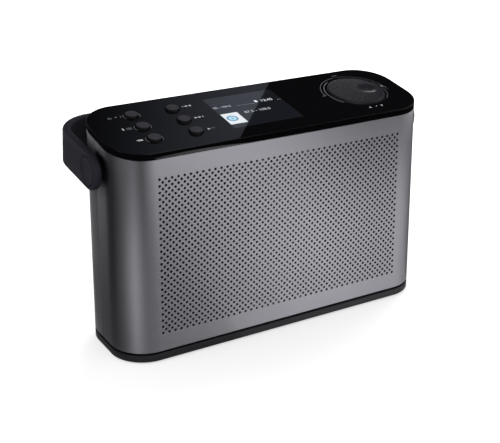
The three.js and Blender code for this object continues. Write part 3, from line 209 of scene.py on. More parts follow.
def under_gloss(name, color, glow=0.0, ior=1.45):
    """Ink or liquid crystal behind clear acrylic, also used for painted highlights: its colour lies
    under the same gloss.
    """
    made = grained(name, color, 0.4 * MM, (0.95, 1.0), (0.015, 0.03), more={"IOR": ior})
    shader = made.node_tree.nodes["Principled BSDF"]
    shader.inputs["Emission Color"].default_value = color
    shader.inputs["Emission Strength"].default_value = glow
    return made


def woven_cloth(color):
    """Black acoustic cloth in a plain weave: almost no light comes back from it."""
    made = new_material("woven polyester acoustic cloth")
    tree = made.node_tree
    place = add_node(tree, "ShaderNodeTexCoord")
    # Threads are 0.4 mm apart, drawn 0.8 mm apart; a wave texture repeats every 2 pi / 20.
    threads = [add_node(tree, "ShaderNodeTexWave", {"bands_direction": direction},
                        {"Scale": math.pi / (10 * 0.8 * MM)},
                        {"Vector": place.outputs["Object"]}).outputs["Fac"]
               for direction in ("X", "Z")]
    weave = add_node(tree, "ShaderNodeMath", {"operation": "MULTIPLY"},
                     links={0: threads[0], 1: threads[1]})
    tint = add_node(tree, "ShaderNodeMix", {"data_type": "RGBA"}, {6: toned(color, 0.6), 7: color},
                    {0: weave.outputs["Value"]})
    relief = add_node(tree, "ShaderNodeBump", values={"Distance": 0.1 * MM},
                      links={"Height": weave.outputs["Value"]})
    shader = add_node(tree, "ShaderNodeBsdfPrincipled", values={"Roughness": 0.95, "IOR": 1.4},
                      links={"Base Color": tint.outputs[2], "Normal": relief.outputs["Normal"]})
    add_node(tree, "ShaderNodeOutputMaterial", links={"Surface": shader.outputs["BSDF"]})
    return made


def plated_steel(name, color, roughness, spacing):
    """Turned and plated metal: bright, with faint wear in the plating."""
    return grained(name, color, spacing, (0.94, 1.0), (roughness, roughness + 0.08),
                   more={"Metallic": 1.0})


def circuit_board():
    """Glass epoxy board under green lacquer, with paler copper tracks showing through."""
    made = new_material("lacquered glass epoxy board")
    tree = made.node_tree
    place = add_node(tree, "ShaderNodeTexCoord")
    # Tracks are 0.2 mm wide; they are drawn 0.3 mm wide.
    tracks = add_node(tree, "ShaderNodeTexBrick", {"offset": 0.5},
                      {"Scale": 1 / (4 * MM), "Mortar Size": 0.08, "Color1": srgb("#1c5233"),
                       "Color2": srgb("#1f5a38"), "Mortar": srgb("#2f7a4b")},
                      {"Vector": place.outputs["Object"]})
    shader = add_node(tree, "ShaderNodeBsdfPrincipled", values={"Roughness": 0.4, "IOR": 1.5},
                      links={"Base Color": tracks.outputs["Color"]})
    add_node(tree, "ShaderNodeOutputMaterial", links={"Surface": shader.outputs["BSDF"]})
    return made


def pulp_paper(color):
    """Pressed paper pulp: matt, with short fibres."""
    return grained("pressed paper pulp", color, 1.2 * MM, (0.8, 1.25), (0.85, 0.95), 0.08 * MM,
                   (3, 1, 1))


# ------------------------------------------------------------------ mesh building

def shade(mesh, sharp=35):
    """Shades a mesh smooth, except where it turns by more than sharp degrees."""
    mesh.shade_smooth()
    mesh.set_sharp_from_angle(angle=math.radians(sharp))


def mesh_piece(name, points, faces, sharp=35):
    """A mesh with outward faces, smooth except where it turns by more than sharp degrees."""
    mesh = bpy.data.meshes.new(name)
    mesh.from_pydata([tuple(p) for p in points], [], faces)
    built = bmesh.new()
    built.from_mesh(mesh)
    bmesh.ops.remove_doubles(built, verts=built.verts, dist=1e-7)
    bmesh.ops.recalc_face_normals(built, faces=built.faces)
    built.to_mesh(mesh)
    built.free()
    shade(mesh, sharp)
    made = bpy.data.objects.new(name, mesh)
    bpy.context.scene.collection.objects.link(made)
    return made


def loft(name, rings, closed=False, sharp=35):
    """A skin over rings of equally many points. Its ends are closed, unless the last ring
    meets the first."""
    count = len(rings[0])
    points = [p for ring in rings for p in ring]
    faces = []
    for storey in range(len(rings) if closed else len(rings) - 1):
        here, there = storey * count, (storey + 1) % len(rings) * count
        for i in range(count):
            j = (i + 1) % count
            faces.append((here + i, here + j, there + j, there + i))
    if not closed:
        faces += [tuple(range(count)), tuple(range((len(rings) - 1) * count, len(points)))]
    return mesh_piece(name, points, faces, sharp)


def turned(name, profile, steps=64, place=Matrix(), sharp=35):
    """A solid turned about its Z axis from (radius, height) points, then put in place."""
    points, rings = [], []
    for radius, height in profile:
        if radius < 1e-9:
            rings.append([len(points)] * steps)
            points.append(place @ Vector((0, 0, height)))
        else:
            rings.append(list(range(len(points), len(points) + steps)))
            points += [place @ Vector((radius * math.cos(2 * math.pi * i / steps),
                                       radius * math.sin(2 * math.pi * i / steps), height))
                       for i in range(steps)]
    faces = []
    for low, high in zip(rings, rings[1:]):
        for i in range(steps):
            j = (i + 1) % steps
            corners = []
            for corner in (low[i], low[j], high[j], high[i]):
                if corner not in corners:
                    corners.append(corner)
            if len(corners) > 2:
                faces.append(tuple(corners))
    return mesh_piece(name, points, faces, sharp)


def apply_changes(target):
    """Makes the target's modifiers a part of its mesh."""
    bpy.context.view_layer.update()
    shown = target.evaluated_get(bpy.context.evaluated_depsgraph_get())
    mesh = bpy.data.meshes.new_from_object(shown)
    target.modifiers.clear()
    target.data = mesh


def combine(target, operation, *others):
    """Joins the others to the target (UNION) or takes them out of it (DIFFERENCE)."""
    for other in others:
        change = target.modifiers.new("combine", "BOOLEAN")
        change.operation = operation
        change.solver = "EXACT"
        change.object = other
    apply_changes(target)
    shade(target.data)
    for other in others:
        bpy.data.objects.remove(other)


def carve(target, *cutters):
    combine(target, "DIFFERENCE", *cutters)


def true_flats(target):
    """Turns the shading towards the larger face at each corner, so flat faces look flat."""
    change = target.modifiers.new("flats", "WEIGHTED_NORMAL")
    change.keep_sharp = True
    change.weight = 80
    apply_changes(target)


def soften(target, width, segments=3):
    """Rounds every edge that turns by more than 40 degrees."""
    change = target.modifiers.new("soften", "BEVEL")
    change.width = width
    change.segments = segments
    change.limit_method = "ANGLE"
    change.angle_limit = math.radians(40)
    apply_changes(target)
    shade(target.data)


def fit(target, body, slot, finish, *stands_for):
    """Gives a piece its finish and its body, and hides the CAD nodes that it stands for."""
    target.data.materials.clear()
    target.data.materials.append(finish)
    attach(target, body)
    if stands_for:
        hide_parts(*stands_for)
    return target


def corner_arc(cx, cy, radius, start, end, steps):
    return [(cx + radius * math.cos(math.radians(start + (end - start) * i / steps)),
             cy + radius * math.sin(math.radians(start + (end - start) * i / steps)))
            for i in range(steps + 1)]


def rounded_box(x0, x1, y0, y1, radius, steps=10):
    """Outline of a rectangle with round corners, anticlockwise."""
    return (corner_arc(x1 - radius, y0 + radius, radius, -90, 0, steps)
            + corner_arc(x1 - radius, y1 - radius, radius, 0, 90, steps)
            + corner_arc(x0 + radius, y1 - radius, radius, 90, 180, steps)
            + corner_arc(x0 + radius, y0 + radius, radius, 180, 270, steps))


def round_edge(radius, steps):
    """Inset and drop of each point on a rounded edge, from its upright side to its flat top."""
    turns = [math.radians(90 * step / steps) for step in range(steps + 1)]
    return [(radius * (1 - math.cos(turn)), radius * (1 - math.sin(turn))) for turn in turns]


def plan(inset, steps=20):
    """The housing's outline seen from above, drawn inwards by inset."""
    radius = bpy.context.scene.radio_body.corner_radius - inset
    return rounded_box(inset - HALF_WIDTH, HALF_WIDTH - inset, FRONT + inset, BACK - inset,
                       radius, steps)


def level(outline, height):
    return [Vector((x, y, height)) for x, y in outline]


def leaning(outline, height):
    """The outline at a height that rises to the back with the fascia's slope."""
    return [Vector((x, y, height + (y - FRONT) * RISE)) for x, y in outline]


# ------------------------------------------------------------------ what a user may change

class RadioBodySettings(bpy.types.PropertyGroup):
    """Housing: sizes and colours"""
    corner_radius: FloatProperty(
        name="Corner radius", description="Radius of the housing's upright corners",
        default=22.2 * MM, min=5 * MM, max=30 * MM, unit="LENGTH")
    hole_pitch: FloatProperty(
        name="Hole pitch", description="Distance between holes along one row of the grille",
        default=4.0 * MM, min=2 * MM, max=10 * MM, unit="LENGTH")
    hole_diameter: FloatProperty(
        name="Hole diameter", description="Diameter of each hole in the grille",
        default=1.75 * MM, min=0.5 * MM, max=3 * MM, unit="LENGTH")
    hole_sides: IntProperty(
        name="Hole sides", description="Sides drawn round each hole, a multiple of four",
        default=8, min=4, max=16)
    metal_color: FloatVectorProperty(
        name="Metal colour", description="Anodised colour of the front sleeve",
        default=srgb("#949399"), size=4, min=0, max=1, subtype="COLOR")
    cover_color: FloatVectorProperty(
        name="Cover colour", description="Paint of the rear cover",
        default=srgb("#79787d"), size=4, min=0, max=1, subtype="COLOR")
    base_color: FloatVectorProperty(
        name="Base colour", description="Plastic of the base",
        default=srgb("#1b1a1f"), size=4, min=0, max=1, subtype="COLOR")


class RadioControlSettings(bpy.types.PropertyGroup):
    """Fascia, buttons, knob and display: sizes and colours"""
    fascia_color: FloatVectorProperty(
        name="Fascia colour", description="Acrylic of the sloping control fascia",
        default=srgb("#060608"), size=4, min=0, max=1, subtype="COLOR")
    button_color: FloatVectorProperty(
        name="Button colour", description="Rubber of the push buttons",
        default=srgb("#302f35"), size=4, min=0, max=1, subtype="COLOR")
    knob_color: FloatVectorProperty(
        name="Knob colour", description="Plastic of the tuning knob",
        default=srgb("#201f25"), size=4, min=0, max=1, subtype="COLOR")
    print_color: FloatVectorProperty(
        name="Print colour", description="Ink of the signs beside the controls",
        default=srgb("#bcbdc0"), size=4, min=0, max=1, subtype="COLOR")
    glow: FloatProperty(
        name="Display glow", description="Strength of the display's own light",
        default=0.15, min=0, max=2)


class RadioHandleSettings(bpy.types.PropertyGroup):
    """Carry handle: rounding and colour"""
    edge_radius: FloatProperty(
        name="Edge radius", description="Rounding of the handle's long edges",
        default=1.7 * MM, min=0.3 * MM, max=2.4 * MM, unit="LENGTH")
    handle_color: FloatVectorProperty(
        name="Handle colour", description="Soft-touch skin of the handle",
        default=srgb("#25242e"), size=4, min=0, max=1, subtype="COLOR")


class RadioStageSettings(bpy.types.PropertyGroup):
    """Studio: light levels"""
    key_power: FloatProperty(
        name="Key light", description="Power of the large light over the left shoulder",
        default=16.0, min=0, unit="POWER")
    fill_power: FloatProperty(
        name="Fill light", description="Power of the light from the right",
        default=9.0, min=0, unit="POWER")


# ------------------------------------------------------------------ sleeve

class SheetMesh:
    """Faces of one continuous sheet: corners at the same place are one shared point."""

    def __init__(self):
        self.points, self.faces, self.known = [], [], {}

    def point(self, x, y, z):
        key = (round(x * 1e7), round(y * 1e7), round(z * 1e7))
        if key not in self.known:
            self.known[key] = len(self.points)
            self.points.append((x, y, z))
        return self.known[key]

    def face(self, *corners):
        self.faces.append(tuple(self.point(*corner) for corner in corners))


class HoleField:
    """Layout of the grille: columns and rows of holes, and a second set half a pitch across
    and up. Each hole owns a diamond of the sheet, whose tips lie half a pitch away."""

    def __init__(self, settings):
        self.pitch = settings.hole_pitch
        self.half = self.pitch / 2
        self.radius = settings.hole_diameter / 2
        self.sides = settings.hole_sides
        self.per_edge = self.sides // 4
        self.columns = int((GRILLE_HIGH.x - GRILLE_LOW.x) / self.pitch + 0.2)
        self.rows = int((GRILLE_HIGH.z - GRILLE_LOW.z) / self.pitch + 0.2)
        middle = (GRILLE_LOW.z + GRILLE_HIGH.z) / 2
        self.left, self.bottom = -self.columns * self.half, middle - self.rows * self.half
        self.right, self.top = -self.left, middle + self.rows * self.half

    def centres(self):
        straight = [(self.left + self.half + i * self.pitch, self.bottom + self.half + j * self.pitch)
                    for i in range(self.columns) for j in range(self.rows)]
        return straight + [(self.left + self.pitch + i * self.pitch,
                            self.bottom + self.pitch + j * self.pitch)
                           for i in range(self.columns - 1) for j in range(self.rows - 1)]

    def along(self, start, end, first, last):
        """Places on a diamond's edge, from its step first to its step last."""
        return [(start[0] + (end[0] - start[0]) * i / self.per_edge,
                 start[1] + (end[1] - start[1]) * i / self.per_edge)
                for i in range(first, last + 1)]

    def diamond(self, x, z):
        half = self.half
        tips = [(x + half, z), (x, z + half), (x - half, z), (x, z - half)]
        edge = []
        for start, end in zip(tips, tips[1:] + tips[:1]):
            edge += self.along(start, end, 0, self.per_edge - 1)
        return edge


class RADIO_OT_sleeve(bpy.types.Operator):
    """Make the perforated aluminium sleeve as one sheet, with every hole through it"""
    bl_idname = "radio.sleeve"
    bl_label = "Front sleeve"

    thickness = GRILLE_HIGH.y - GRILLE_LOW.y
    chamfer = 0.2 * MM  # along the sheet's upper and lower rims

    def execute(self, context):
        settings = context.scene.radio_body
        field = HoleField(settings)
        sheet = SheetMesh()
        self.holes(sheet, field)
        self.field_edges(sheet, field)
        self.bent_sides(sheet, field, settings.corner_radius)
        self.plain_strips(sheet, field, HALF_WIDTH - settings.corner_radius)
        sleeve = mesh_piece("metal_sleeve", sheet.points, sheet.faces)
        fit(sleeve, HOUSING, "sleeve_aluminium", brushed_aluminium(settings.metal_color),
            "front_sleeve", "speaker_grille")
        return {"FINISHED"}

    def holes(self, sheet, field):
        """Each hole's share of the sheet, and the hole's wall through the metal."""
        sides, radius = field.sides, field.radius
        for cx, cz in field.centres():
            outer = [sheet.point(x, FRONT, z) for x, z in field.diamond(cx, cz)]
            circle = [(cx + radius * math.cos(2 * math.pi * i / sides),
                       cz + radius * math.sin(2 * math.pi * i / sides)) for i in range(sides)]
            rim = [sheet.point(x, FRONT, z) for x, z in circle]
            inside = [sheet.point(x, FRONT + self.thickness, z) for x, z in circle]
            for i in range(sides):
                j = (i + 1) % sides
                sheet.faces.append((outer[i], outer[j], rim[j], rim[i]))
                sheet.faces.append((rim[i], rim[j], inside[j], inside[i]))

    def field_edges(self, sheet, field):
        """Triangles between the outermost diamonds and the field's straight edges."""
        half, pitch, count = field.half, field.pitch, field.per_edge
        left, right, bottom, top = field.left, field.right, field.bottom, field.top

        def fill(tip_a, valley, tip_b):
            path = [tip_a] + field.along(tip_a, valley, 1, count)
            path += field.along(valley, tip_b, 1, count)
            sheet.face(*[(x, FRONT, z) for x, z in path])

        for i in range(field.columns - 1):
            x = left + half + i * pitch
            fill((x, bottom), (x + half, bottom + half), (x + pitch, bottom))
            fill((x, top), (x + half, top - half), (x + pitch, top))
        for j in range(field.rows - 1):
            z = bottom + half + j * pitch
            fill((left, z), (left + half, z + half), (left, z + pitch))
            fill((right, z), (right - half, z + half), (right, z + pitch))
        for side_x, tip_x in ((left, left + half), (right, right - half)):
            for side_z, tip_z in ((bottom, bottom + half), (top, top - half)):
                path = [(side_x, side_z)] + field.along((tip_x, side_z), (side_x, tip_z), 0, count)
                sheet.face(*[(x, FRONT, z) for x, z in path])

    def bent_sides(self, sheet, field, corner):
        """Metal from each seam round the corner to the front, in upright lines of points."""
        centre_x, centre_y = HALF_WIDTH - corner, FRONT + corner
        line = corner_arc(centre_x, centre_y, corner, -90, 0, 24)
        line += [(HALF_WIDTH, centre_y + (SEAM - centre_y) * share) for share in (0.5, 1)]
        insets = [self.chamfer, 0, 0, 0, 0, self.chamfer]

        def skin(x, y, inset, side):
            """Place on the sheet moved inwards by inset."""
            if y >= centre_y:
                return side * (HALF_WIDTH - inset), y
            length = math.hypot(x - centre_x, y - centre_y)
            share = (length - inset) / length
            return (side * (centre_x + (x - centre_x) * share),
                    centre_y + (y - centre_y) * share)

        for side in (1, -1):
            before = None
            for x, y in line:
                ceiling = SLEEVE_TOP + (y - FRONT) * RISE
                levels = [SLEEVE_BOTTOM, SLEEVE_BOTTOM + self.chamfer, field.bottom, field.top,
                          ceiling - self.chamfer, ceiling]
                column = [(*skin(x, y, inset, side), z) for z, inset in zip(levels, insets)]
                column += [(*skin(x, y, self.thickness, side), z) for z in (ceiling, SLEEVE_BOTTOM)]
                here = [sheet.point(*place) for place in column]
                if before is not None:
                    count = len(here)
                    for k in range(count):
                        n = (k + 1) % count
                        sheet.faces.append((before[k], here[k], here[n], before[n]))
                before = here
            sheet.faces.append(tuple(before))

    def plain_strips(self, sheet, field, edge_x):
        """Flat metal over, under and beside the field."""
        left, right, bottom, top = field.left, field.right, field.bottom, field.top
        tips_x = [left + field.half + i * field.pitch for i in range(field.columns)]
        tips_z = [bottom + field.half + j * field.pitch for j in range(field.rows)]
        floor, ceiling, chamfer = SLEEVE_BOTTOM, SLEEVE_TOP, self.chamfer
        front, bevel, back = FRONT, FRONT + chamfer, FRONT + self.thickness
        for z_edge, z_near, z_rim in ((top, ceiling - chamfer, ceiling),
                                      (bottom, floor + chamfer, floor)):
            sheet.face(*[(x, front, z_edge) for x in [left, *tips_x, right]],
                       (right, front, z_near), (left, front, z_near))
            for a, b in ((left, right), (right, edge_x), (-edge_x, left)):
                sheet.face((a, front, z_near), (b, front, z_near), (b, bevel, z_rim),
                           (a, bevel, z_rim))
                sheet.face((a, bevel, z_rim), (b, bevel, z_rim), (b, back, z_rim),
                           (a, back, z_rim))
        for side in (1, -1):
            a, b = side * right, side * edge_x
            sheet.face(*[(a, front, z) for z in [bottom, *tips_z, top]],
                       (b, front, top), (b, front, bottom))
            for low, high in ((floor + chamfer, bottom), (top, ceiling - chamfer)):
                sheet.face((a, front, low), (b, front, low), (b, front, high), (a, front, high))


# ------------------------------------------------------------------ rear cover and base

class RADIO_OT_rear_cover(bpy.types.Operator):
    """Make the painted rear cover, with its socket panel and the aerial's rest"""
    bl_idname = "radio.rear_cover"
    bl_label = "Rear cover"

    def execute(self, context):
        settings = context.scene.radio_body
        start = SEAM + 0.3 * MM
        wall = 2 * MM
        corner = settings.corner_radius
        outer = [p for p in plan(0) if p[1] > BACK - corner - 1e-9]
        outer = [(HALF_WIDTH, start)] + outer + [(-HALF_WIDTH, start)]
        inner = [p for p in plan(wall) if p[1] > BACK - corner - 1e-9]
        inner = [(HALF_WIDTH - wall, start)] + inner + [(wall - HALF_WIDTH, start)]
        outline = outer + inner[::-1]
        shell = loft("rear_shell", [level(outline, SLEEVE_BOTTOM), leaning(outline, SLEEVE_TOP)])
        soften(shell, 0.35 * MM)

        sockets = [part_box(name) for name, outside, bore in SOCKETS]
        margin = 4 * MM
        panel = rounded_box(min(low.x for low, _ in sockets) - margin,
                            max(high.x for _, high in sockets) + margin,
                            min(low.z for low, _ in sockets) - margin,
                            max(high.z for _, high in sockets) + margin, 2.5 * MM, 6)
        recess = [[Vector((x, y, z)) for x, z in panel]
                  for y in (BACK - 0.7 * MM, BACK + 5 * MM)]
        cutters = [loft("recess", recess)]
        across = Matrix.Rotation(-math.pi / 2, 4, "X")
        for (low, high), (name, outside, bore) in zip(sockets, SOCKETS):
            centre = (low + high) / 2
            hole = outside + 0.1 * MM
            cutters.append(turned("hole", [(0, 0), (hole, 0), (hole, 12 * MM), (0, 12 * MM)], 40,
                                  Matrix.Translation((centre.x, BACK - 6 * MM, centre.z)) @ across))
        stem = 2.3 * MM
        cutters.append(turned("hole", [(0, 0), (stem, 0), (stem, 12 * MM), (0, 12 * MM)], 32,
                              Matrix.Translation((AERIAL.x, BACK - 6 * MM, AERIAL.z)) @ across))
        carve(shell, *cutters)
        fit(shell, HOUSING, "cover_paint", cover_paint(settings.cover_color), "rear_cover")

        ledge_top = AERIAL.z - AERIAL_TUBE - 0.3 * MM
        ledge = rounded_box(-60 * MM, -55 * MM, BACK - 1 * MM, AERIAL.y + AERIAL_TUBE, 1.2 * MM, 5)
        rest = loft("aerial_rest", [level(ledge, ledge_top - 1.5 * MM), level(ledge, ledge_top)])
        soften(rest, 0.3 * MM, 2)
        fit(rest, HOUSING, "cover_paint", cover_paint(settings.cover_color))
        return {"FINISHED"}


class RADIO_OT_base(bpy.types.Operator):
    """Make the base band with the shadow groove over it, the battery door and the feet"""
    bl_idname = "radio.base"
    bl_label = "Base"

    def execute(self, context):
        settings = context.scene.radio_body
        bottom = BASE_LOW.z
        band_top = SLEEVE_BOTTOM - 1.6 * MM
        neck = 2.6 * MM
        edge = 0.5 * MM
        rings = [level(plan(inset), bottom + drop)
                 for inset, drop in reversed(round_edge(edge, 4))]
        rings += [level(plan(0), band_top - 0.3 * MM), level(plan(0.3 * MM), band_top),
                  level(plan(neck), band_top), level(plan(neck), SLEEVE_BOTTOM - 0.1 * MM)]
        band = loft("base_band", rings)
        plastic = moulded_plastic("moulded satin ABS", settings.base_color, 0.5, 0.5 * MM,
                                  0.02 * MM, 1.4)
        door_low, door_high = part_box("battery_door")
        gap = 0.3 * MM
        hole = rounded_box(door_low.x - gap, door_high.x + gap, door_low.y - gap,
                           door_high.y + gap, 3 * MM, 8)
        cutters = [loft("cut", [level(hole, bottom - 1 * MM), level(hole, door_high.z + gap)])]
        feet = []
        foot_radius, screw_hole, screw_depth = 6 * MM, 3.1 * MM, 2.9 * MM
        foot_hole = foot_radius + 0.3 * MM
        for place in ("front_left", "front_right", "rear_left", "rear_right"):
            low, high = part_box("foot_" + place)
            centre = (low + high) / 2
            cutters.append(turned("cut", [(0, bottom - 1 * MM), (foot_hole, bottom - 1 * MM),
                                          (foot_hole, bottom + 1.5 * MM), (0, bottom + 1.5 * MM)],
                                  48, Matrix.Translation((centre.x, centre.y, 0))))
            feet.append((place, centre))
        for index in range(1, 5):
            low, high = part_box(f"case_screw_{index}")
            centre = (low + high) / 2
            cutters.append(turned("cut", [(0, bottom - 1 * MM),
                                          (screw_hole + 0.3 * MM, bottom - 1 * MM),
                                          (screw_hole, bottom + 0.2 * MM),
                                          (screw_hole, bottom + screw_depth),
                                          (0, bottom + screw_depth)],
                                  40, Matrix.Translation((centre.x, centre.y, 0))))
        carve(band, *cutters)
        fit(band, HOUSING, "base_plastic", plastic, "bottom_cover")

        rubber = moulded_plastic("moulded silicone rubber", srgb("#1b1b1d"), 0.8, 0.7 * MM,
                               0.05 * MM)
        for place, centre in feet:
            foot = turned("foot_pad_" + place,
                          [(0, 0), (4.2 * MM, 0), (4.4 * MM, 0.15 * MM), (4.8 * MM, 0.15 * MM),
                           (5.0 * MM, 0), (foot_radius - 0.4 * MM, 0),
                           (foot_radius - 0.1 * MM, 0.2 * MM), (foot_radius, 0.5 * MM),
                           (foot_radius, 2 * MM), (0, 2 * MM)],
                          48, Matrix.Translation((centre.x, centre.y, 0)))
            fit(foot, HOUSING, "foot_rubber", rubber, "foot_" + place)

        outline = rounded_box(door_low.x, door_high.x, door_low.y, door_high.y, 2.7 * MM, 8)
        door = loft("battery_lid", [level(outline, door_low.z), level(outline, door_high.z)])
        soften(door, 0.25 * MM, 2)
        grips = []
        for row in range(5):
            y = door_high.y - (5 + 1.6 * row) * MM
            slot = rounded_box(-7 * MM, 7 * MM, y - 0.4 * MM, y + 0.4 * MM, 0.39 * MM, 4)
            grips.append(loft("cut", [level(slot, door_low.z - 1 * MM),
                                      level(slot, door_low.z + 0.4 * MM)]))
        carve(door, *grips)
        fit(door, HOUSING, "base_plastic", plastic, "battery_door")
        return {"FINISHED"}


# ------------------------------------------------------------------ fascia

class RADIO_OT_fascia(bpy.types.Operator):
    """Make the gloss fascia with its dished button holes and the knob's pocket"""
    bl_idname = "radio.fascia"
    bl_label = "Control fascia"

    def execute(self, context):
        settings = context.scene.radio_controls
        edge = 0.15 * MM
        rings = [leaning(plan(0), SLEEVE_TOP + 0.25 * MM)]
        rings += [leaning(plan(inset), FASCIA_TOP - drop) for inset, drop in round_edge(edge, 6)]
        rings.append(leaning(plan(edge + 0.3 * MM), FASCIA_TOP))
        panel = loft("gloss_fascia", rings)

        cutters = []
        for name in BUTTONS:
            low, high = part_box(name + "_button")
            place = fascia_place((low + high) / 2)
            spot = FASCIA @ Matrix.Translation((place.x, place.y, 0))
            cutters.append(turned("dish", [
                (0, -9 * MM), (4.3 * MM, -9 * MM), (4.3 * MM, -0.25 * MM), (4.4 * MM, -0.18 * MM),
                (4.7 * MM, -0.02 * MM), (4.8 * MM, 0.001 * MM), (4.8 * MM, 3 * MM),
                (0, 3 * MM)], 72, spot))
        knob = fascia_place(KNOB)
        pocket = KNOB_SIDE + 1 * MM
        cutters.append(turned("pocket", [
            (0, -5.1 * MM), (pocket, -5.1 * MM), (pocket, -0.2 * MM),
            (pocket + 0.2 * MM, -0.03 * MM), (pocket + 0.3 * MM, 0.001 * MM),
            (pocket + 0.3 * MM, 3 * MM), (0, 3 * MM)],
            128, FASCIA @ Matrix.Translation((knob.x, knob.y, 0))))
        carve(panel, *cutters)
        true_flats(panel)
        fit(panel, HOUSING, "fascia_gloss", gloss_acrylic(settings.fascia_color),
            "top_panel", "display_window")
        return {"FINISHED"}


class SignSheet:
    """Thin printed shapes on the fascia, gathered into one mesh. Places in millimetres."""

    def __init__(self, lift):
        self.points, self.faces, self.lift = [], [], lift

    def shape(self, outline):
        start = len(self.points)
        self.points += [on_fascia(x * MM, v * MM, self.lift) for x, v in outline]
        self.faces.append(tuple(range(start, len(self.points))))

    def bar(self, x0, v0, x1, v1, width):
        length = math.hypot(x1 - x0, v1 - v0)
        nx, nv = -(v1 - v0) / length * width / 2, (x1 - x0) / length * width / 2
        self.shape([(x0 + nx, v0 + nv), (x0 - nx, v0 - nv), (x1 - nx, v1 - nv), (x1 + nx, v1 + nv)])

    def arc(self, x, v, radius, start, end, width, steps=24):
        for i in range(steps):
            a, b = (math.radians(start + (end - start) * k / steps) for k in (i, i + 1))
            inner, outer = radius - width / 2, radius + width / 2
            self.shape([(x + inner * math.cos(a), v + inner * math.sin(a)),
                        (x + outer * math.cos(a), v + outer * math.sin(a)),
                        (x + outer * math.cos(b), v + outer * math.sin(b)),
                        (x + inner * math.cos(b), v + inner * math.sin(b))])

    def disc(self, x, v, radius, steps=32):
        self.shape([(x + radius * math.cos(2 * math.pi * i / steps),
                     v + radius * math.sin(2 * math.pi * i / steps)) for i in range(steps)])

    def arrow(self, x, v, size, direction):
        """Triangle: direction 0 points right, 1 up, 2 left, 3 down."""
        turn = math.radians(90 * direction)
        corners = [(size, 0), (-size * 0.7, size * 0.9), (-size * 0.7, -size * 0.9)]
        self.shape([(x + a * math.cos(turn) - b * math.sin(turn),
                     v + a * math.sin(turn) + b * math.cos(turn)) for a, b in corners])

    def make(self, name):
        return mesh_piece(name, self.points, self.faces)


class RADIO_OT_signs(bpy.types.Operator):
    """Print the plain signs beside the buttons and round the knob, and paint highlights on the rims
    of the button dishes and the knob's pocket
    """
    bl_idname = "radio.signs"
    bl_label = "Printed signs and painted highlights"

    def execute(self, context):
        settings = context.scene.radio_controls
        places = {}
        for name in BUTTONS:
            low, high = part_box(name + "_button")
            spot = fascia_place((low + high) / 2)
            places[name] = (spot.x / MM, spot.y / MM)
        signs = SignSheet(0.02 * MM)
        x, v = places["source"]
        signs.bar(x - 12.2, v - 0.5, x - 12.2, v + 2.1, 0.9)
        x, v = places["menu"]
        signs.arrow(x - 9.6, v + 1.0, 1.3, 2)
        signs.bar(x - 9.0, v + 1.0, x - 6.9, v + 1.0, 1.7)
        x, v = places["previous"]
        signs.bar(x + 7.7, v + 0.4, x + 7.7, v + 2.4, 0.4)
        signs.arrow(x + 9.8, v + 1.4, 1.25, 2)
        signs.arrow(x + 12.4, v + 1.4, 1.25, 2)
        x, v = places["next"]
        signs.arrow(x + 8.5, v + 0.9, 1.25, 0)
        signs.arrow(x + 11.0, v + 0.9, 1.25, 0)
        signs.bar(x + 13.2, v - 0.1, x + 13.2, v + 1.9, 0.4)
        x, v = places["play"]
        signs.arrow(x + 8.9, v + 0.7, 1.2, 0)
        knob = fascia_place(KNOB)
        kx, kv = knob.x / MM, knob.y / MM
        signs.bar(kx + 21.6, kv + 2.3, kx + 23.8, kv - 0.3, 0.7)
        signs.arrow(kx - 5.3, kv - 23.7, 1.1, 1)
        signs.bar(kx - 1.2, kv - 24.1, kx + 0.6, kv - 22.9, 0.3)
        signs.arrow(kx + 3.8, kv - 23.7, 1.1, 3)
        ink = under_gloss("white ink under acrylic", settings.print_color)
        fit(signs.make("fascia_signs"), HOUSING, "fascia_gloss", ink)

        # Grey print of the knob's scale and the marks beside the buttons, with painted highlights on
        # the rims of the button dishes and of the knob's pocket.
        scale_and_rim_light = SignSheet(0.02 * MM)
        scale_and_rim_light.arc(kx, kv, 23.2, 96, 178, 0.4, 40)
        scale_and_rim_light.bar(kx - 25.4, kv + 0.8, kx - 22.6, kv + 0.8, 0.6)
        scale_and_rim_light.bar(kx - 1.6, kv + 25.9, kx + 2.4, kv + 26.2, 0.7)
        x, v = places["power"]
        scale_and_rim_light.arc(x - 13.9, v + 0.7, 1.0, 120, 420, 0.4)
        scale_and_rim_light.bar(x - 13.9, v + 0.7, x - 13.9, v + 2.2, 0.4)
        scale_and_rim_light.arrow(x - 9.9, v + 1.2, 1.0, 2)
        scale_and_rim_light.arc(x - 7.6, v + 1.2, 1.2, -60, 60, 0.35, 10)
        x, v = places["source"]
        for row in range(3):
            scale_and_rim_light.bar(x - 10.3, v - 0.2 + row, x - 6.6, v - 0.2 + row, 0.4)
        x, v = places["play"]
        for offset in (11.2, 12.6):
            scale_and_rim_light.bar(x + offset, v + 0.2, x + offset, v + 2.0, 0.45)
        # Painted highlights: short grey arcs on the left and right of the rims of the left column's
        # button dishes.
        for name in ("power", "source", "menu"):
            x, v = places[name]
            scale_and_rim_light.arc(x, v, 5.1, 145, 215, 0.34, 12)
            scale_and_rim_light.arc(x, v, 5.1, -35, 35, 0.34, 12)
        # Painted highlight: a grey arc on the left of the rim of the knob's pocket.
        scale_and_rim_light.arc(kx, kv, 20.85, 118, 214, 0.6, 40)
        grey = under_gloss("grey ink and painted rim highlights under acrylic", srgb("#6c6d70"))
        fit(scale_and_rim_light.make("knob_scale_and_rim_highlights"), HOUSING, "fascia_gloss", grey)

        # Painted highlights in slate grey: the dim lit edge of the knob's pocket on its right and
        # round its back.
        pocket_rim_light = SignSheet(0.02 * MM)
        pocket_rim_light.arc(kx, kv, 23.3, -10, 94, 0.8, 40)
        pocket_rim_light.arc(kx, kv, 20.9, -45, 25, 0.8, 30)
        dim = under_gloss("slate painted rim highlight under acrylic", srgb("#3e3f43"))
        fit(pocket_rim_light.make("knob_painted_rim_highlight"), HOUSING, "fascia_gloss", dim)
        return {"FINISHED"}


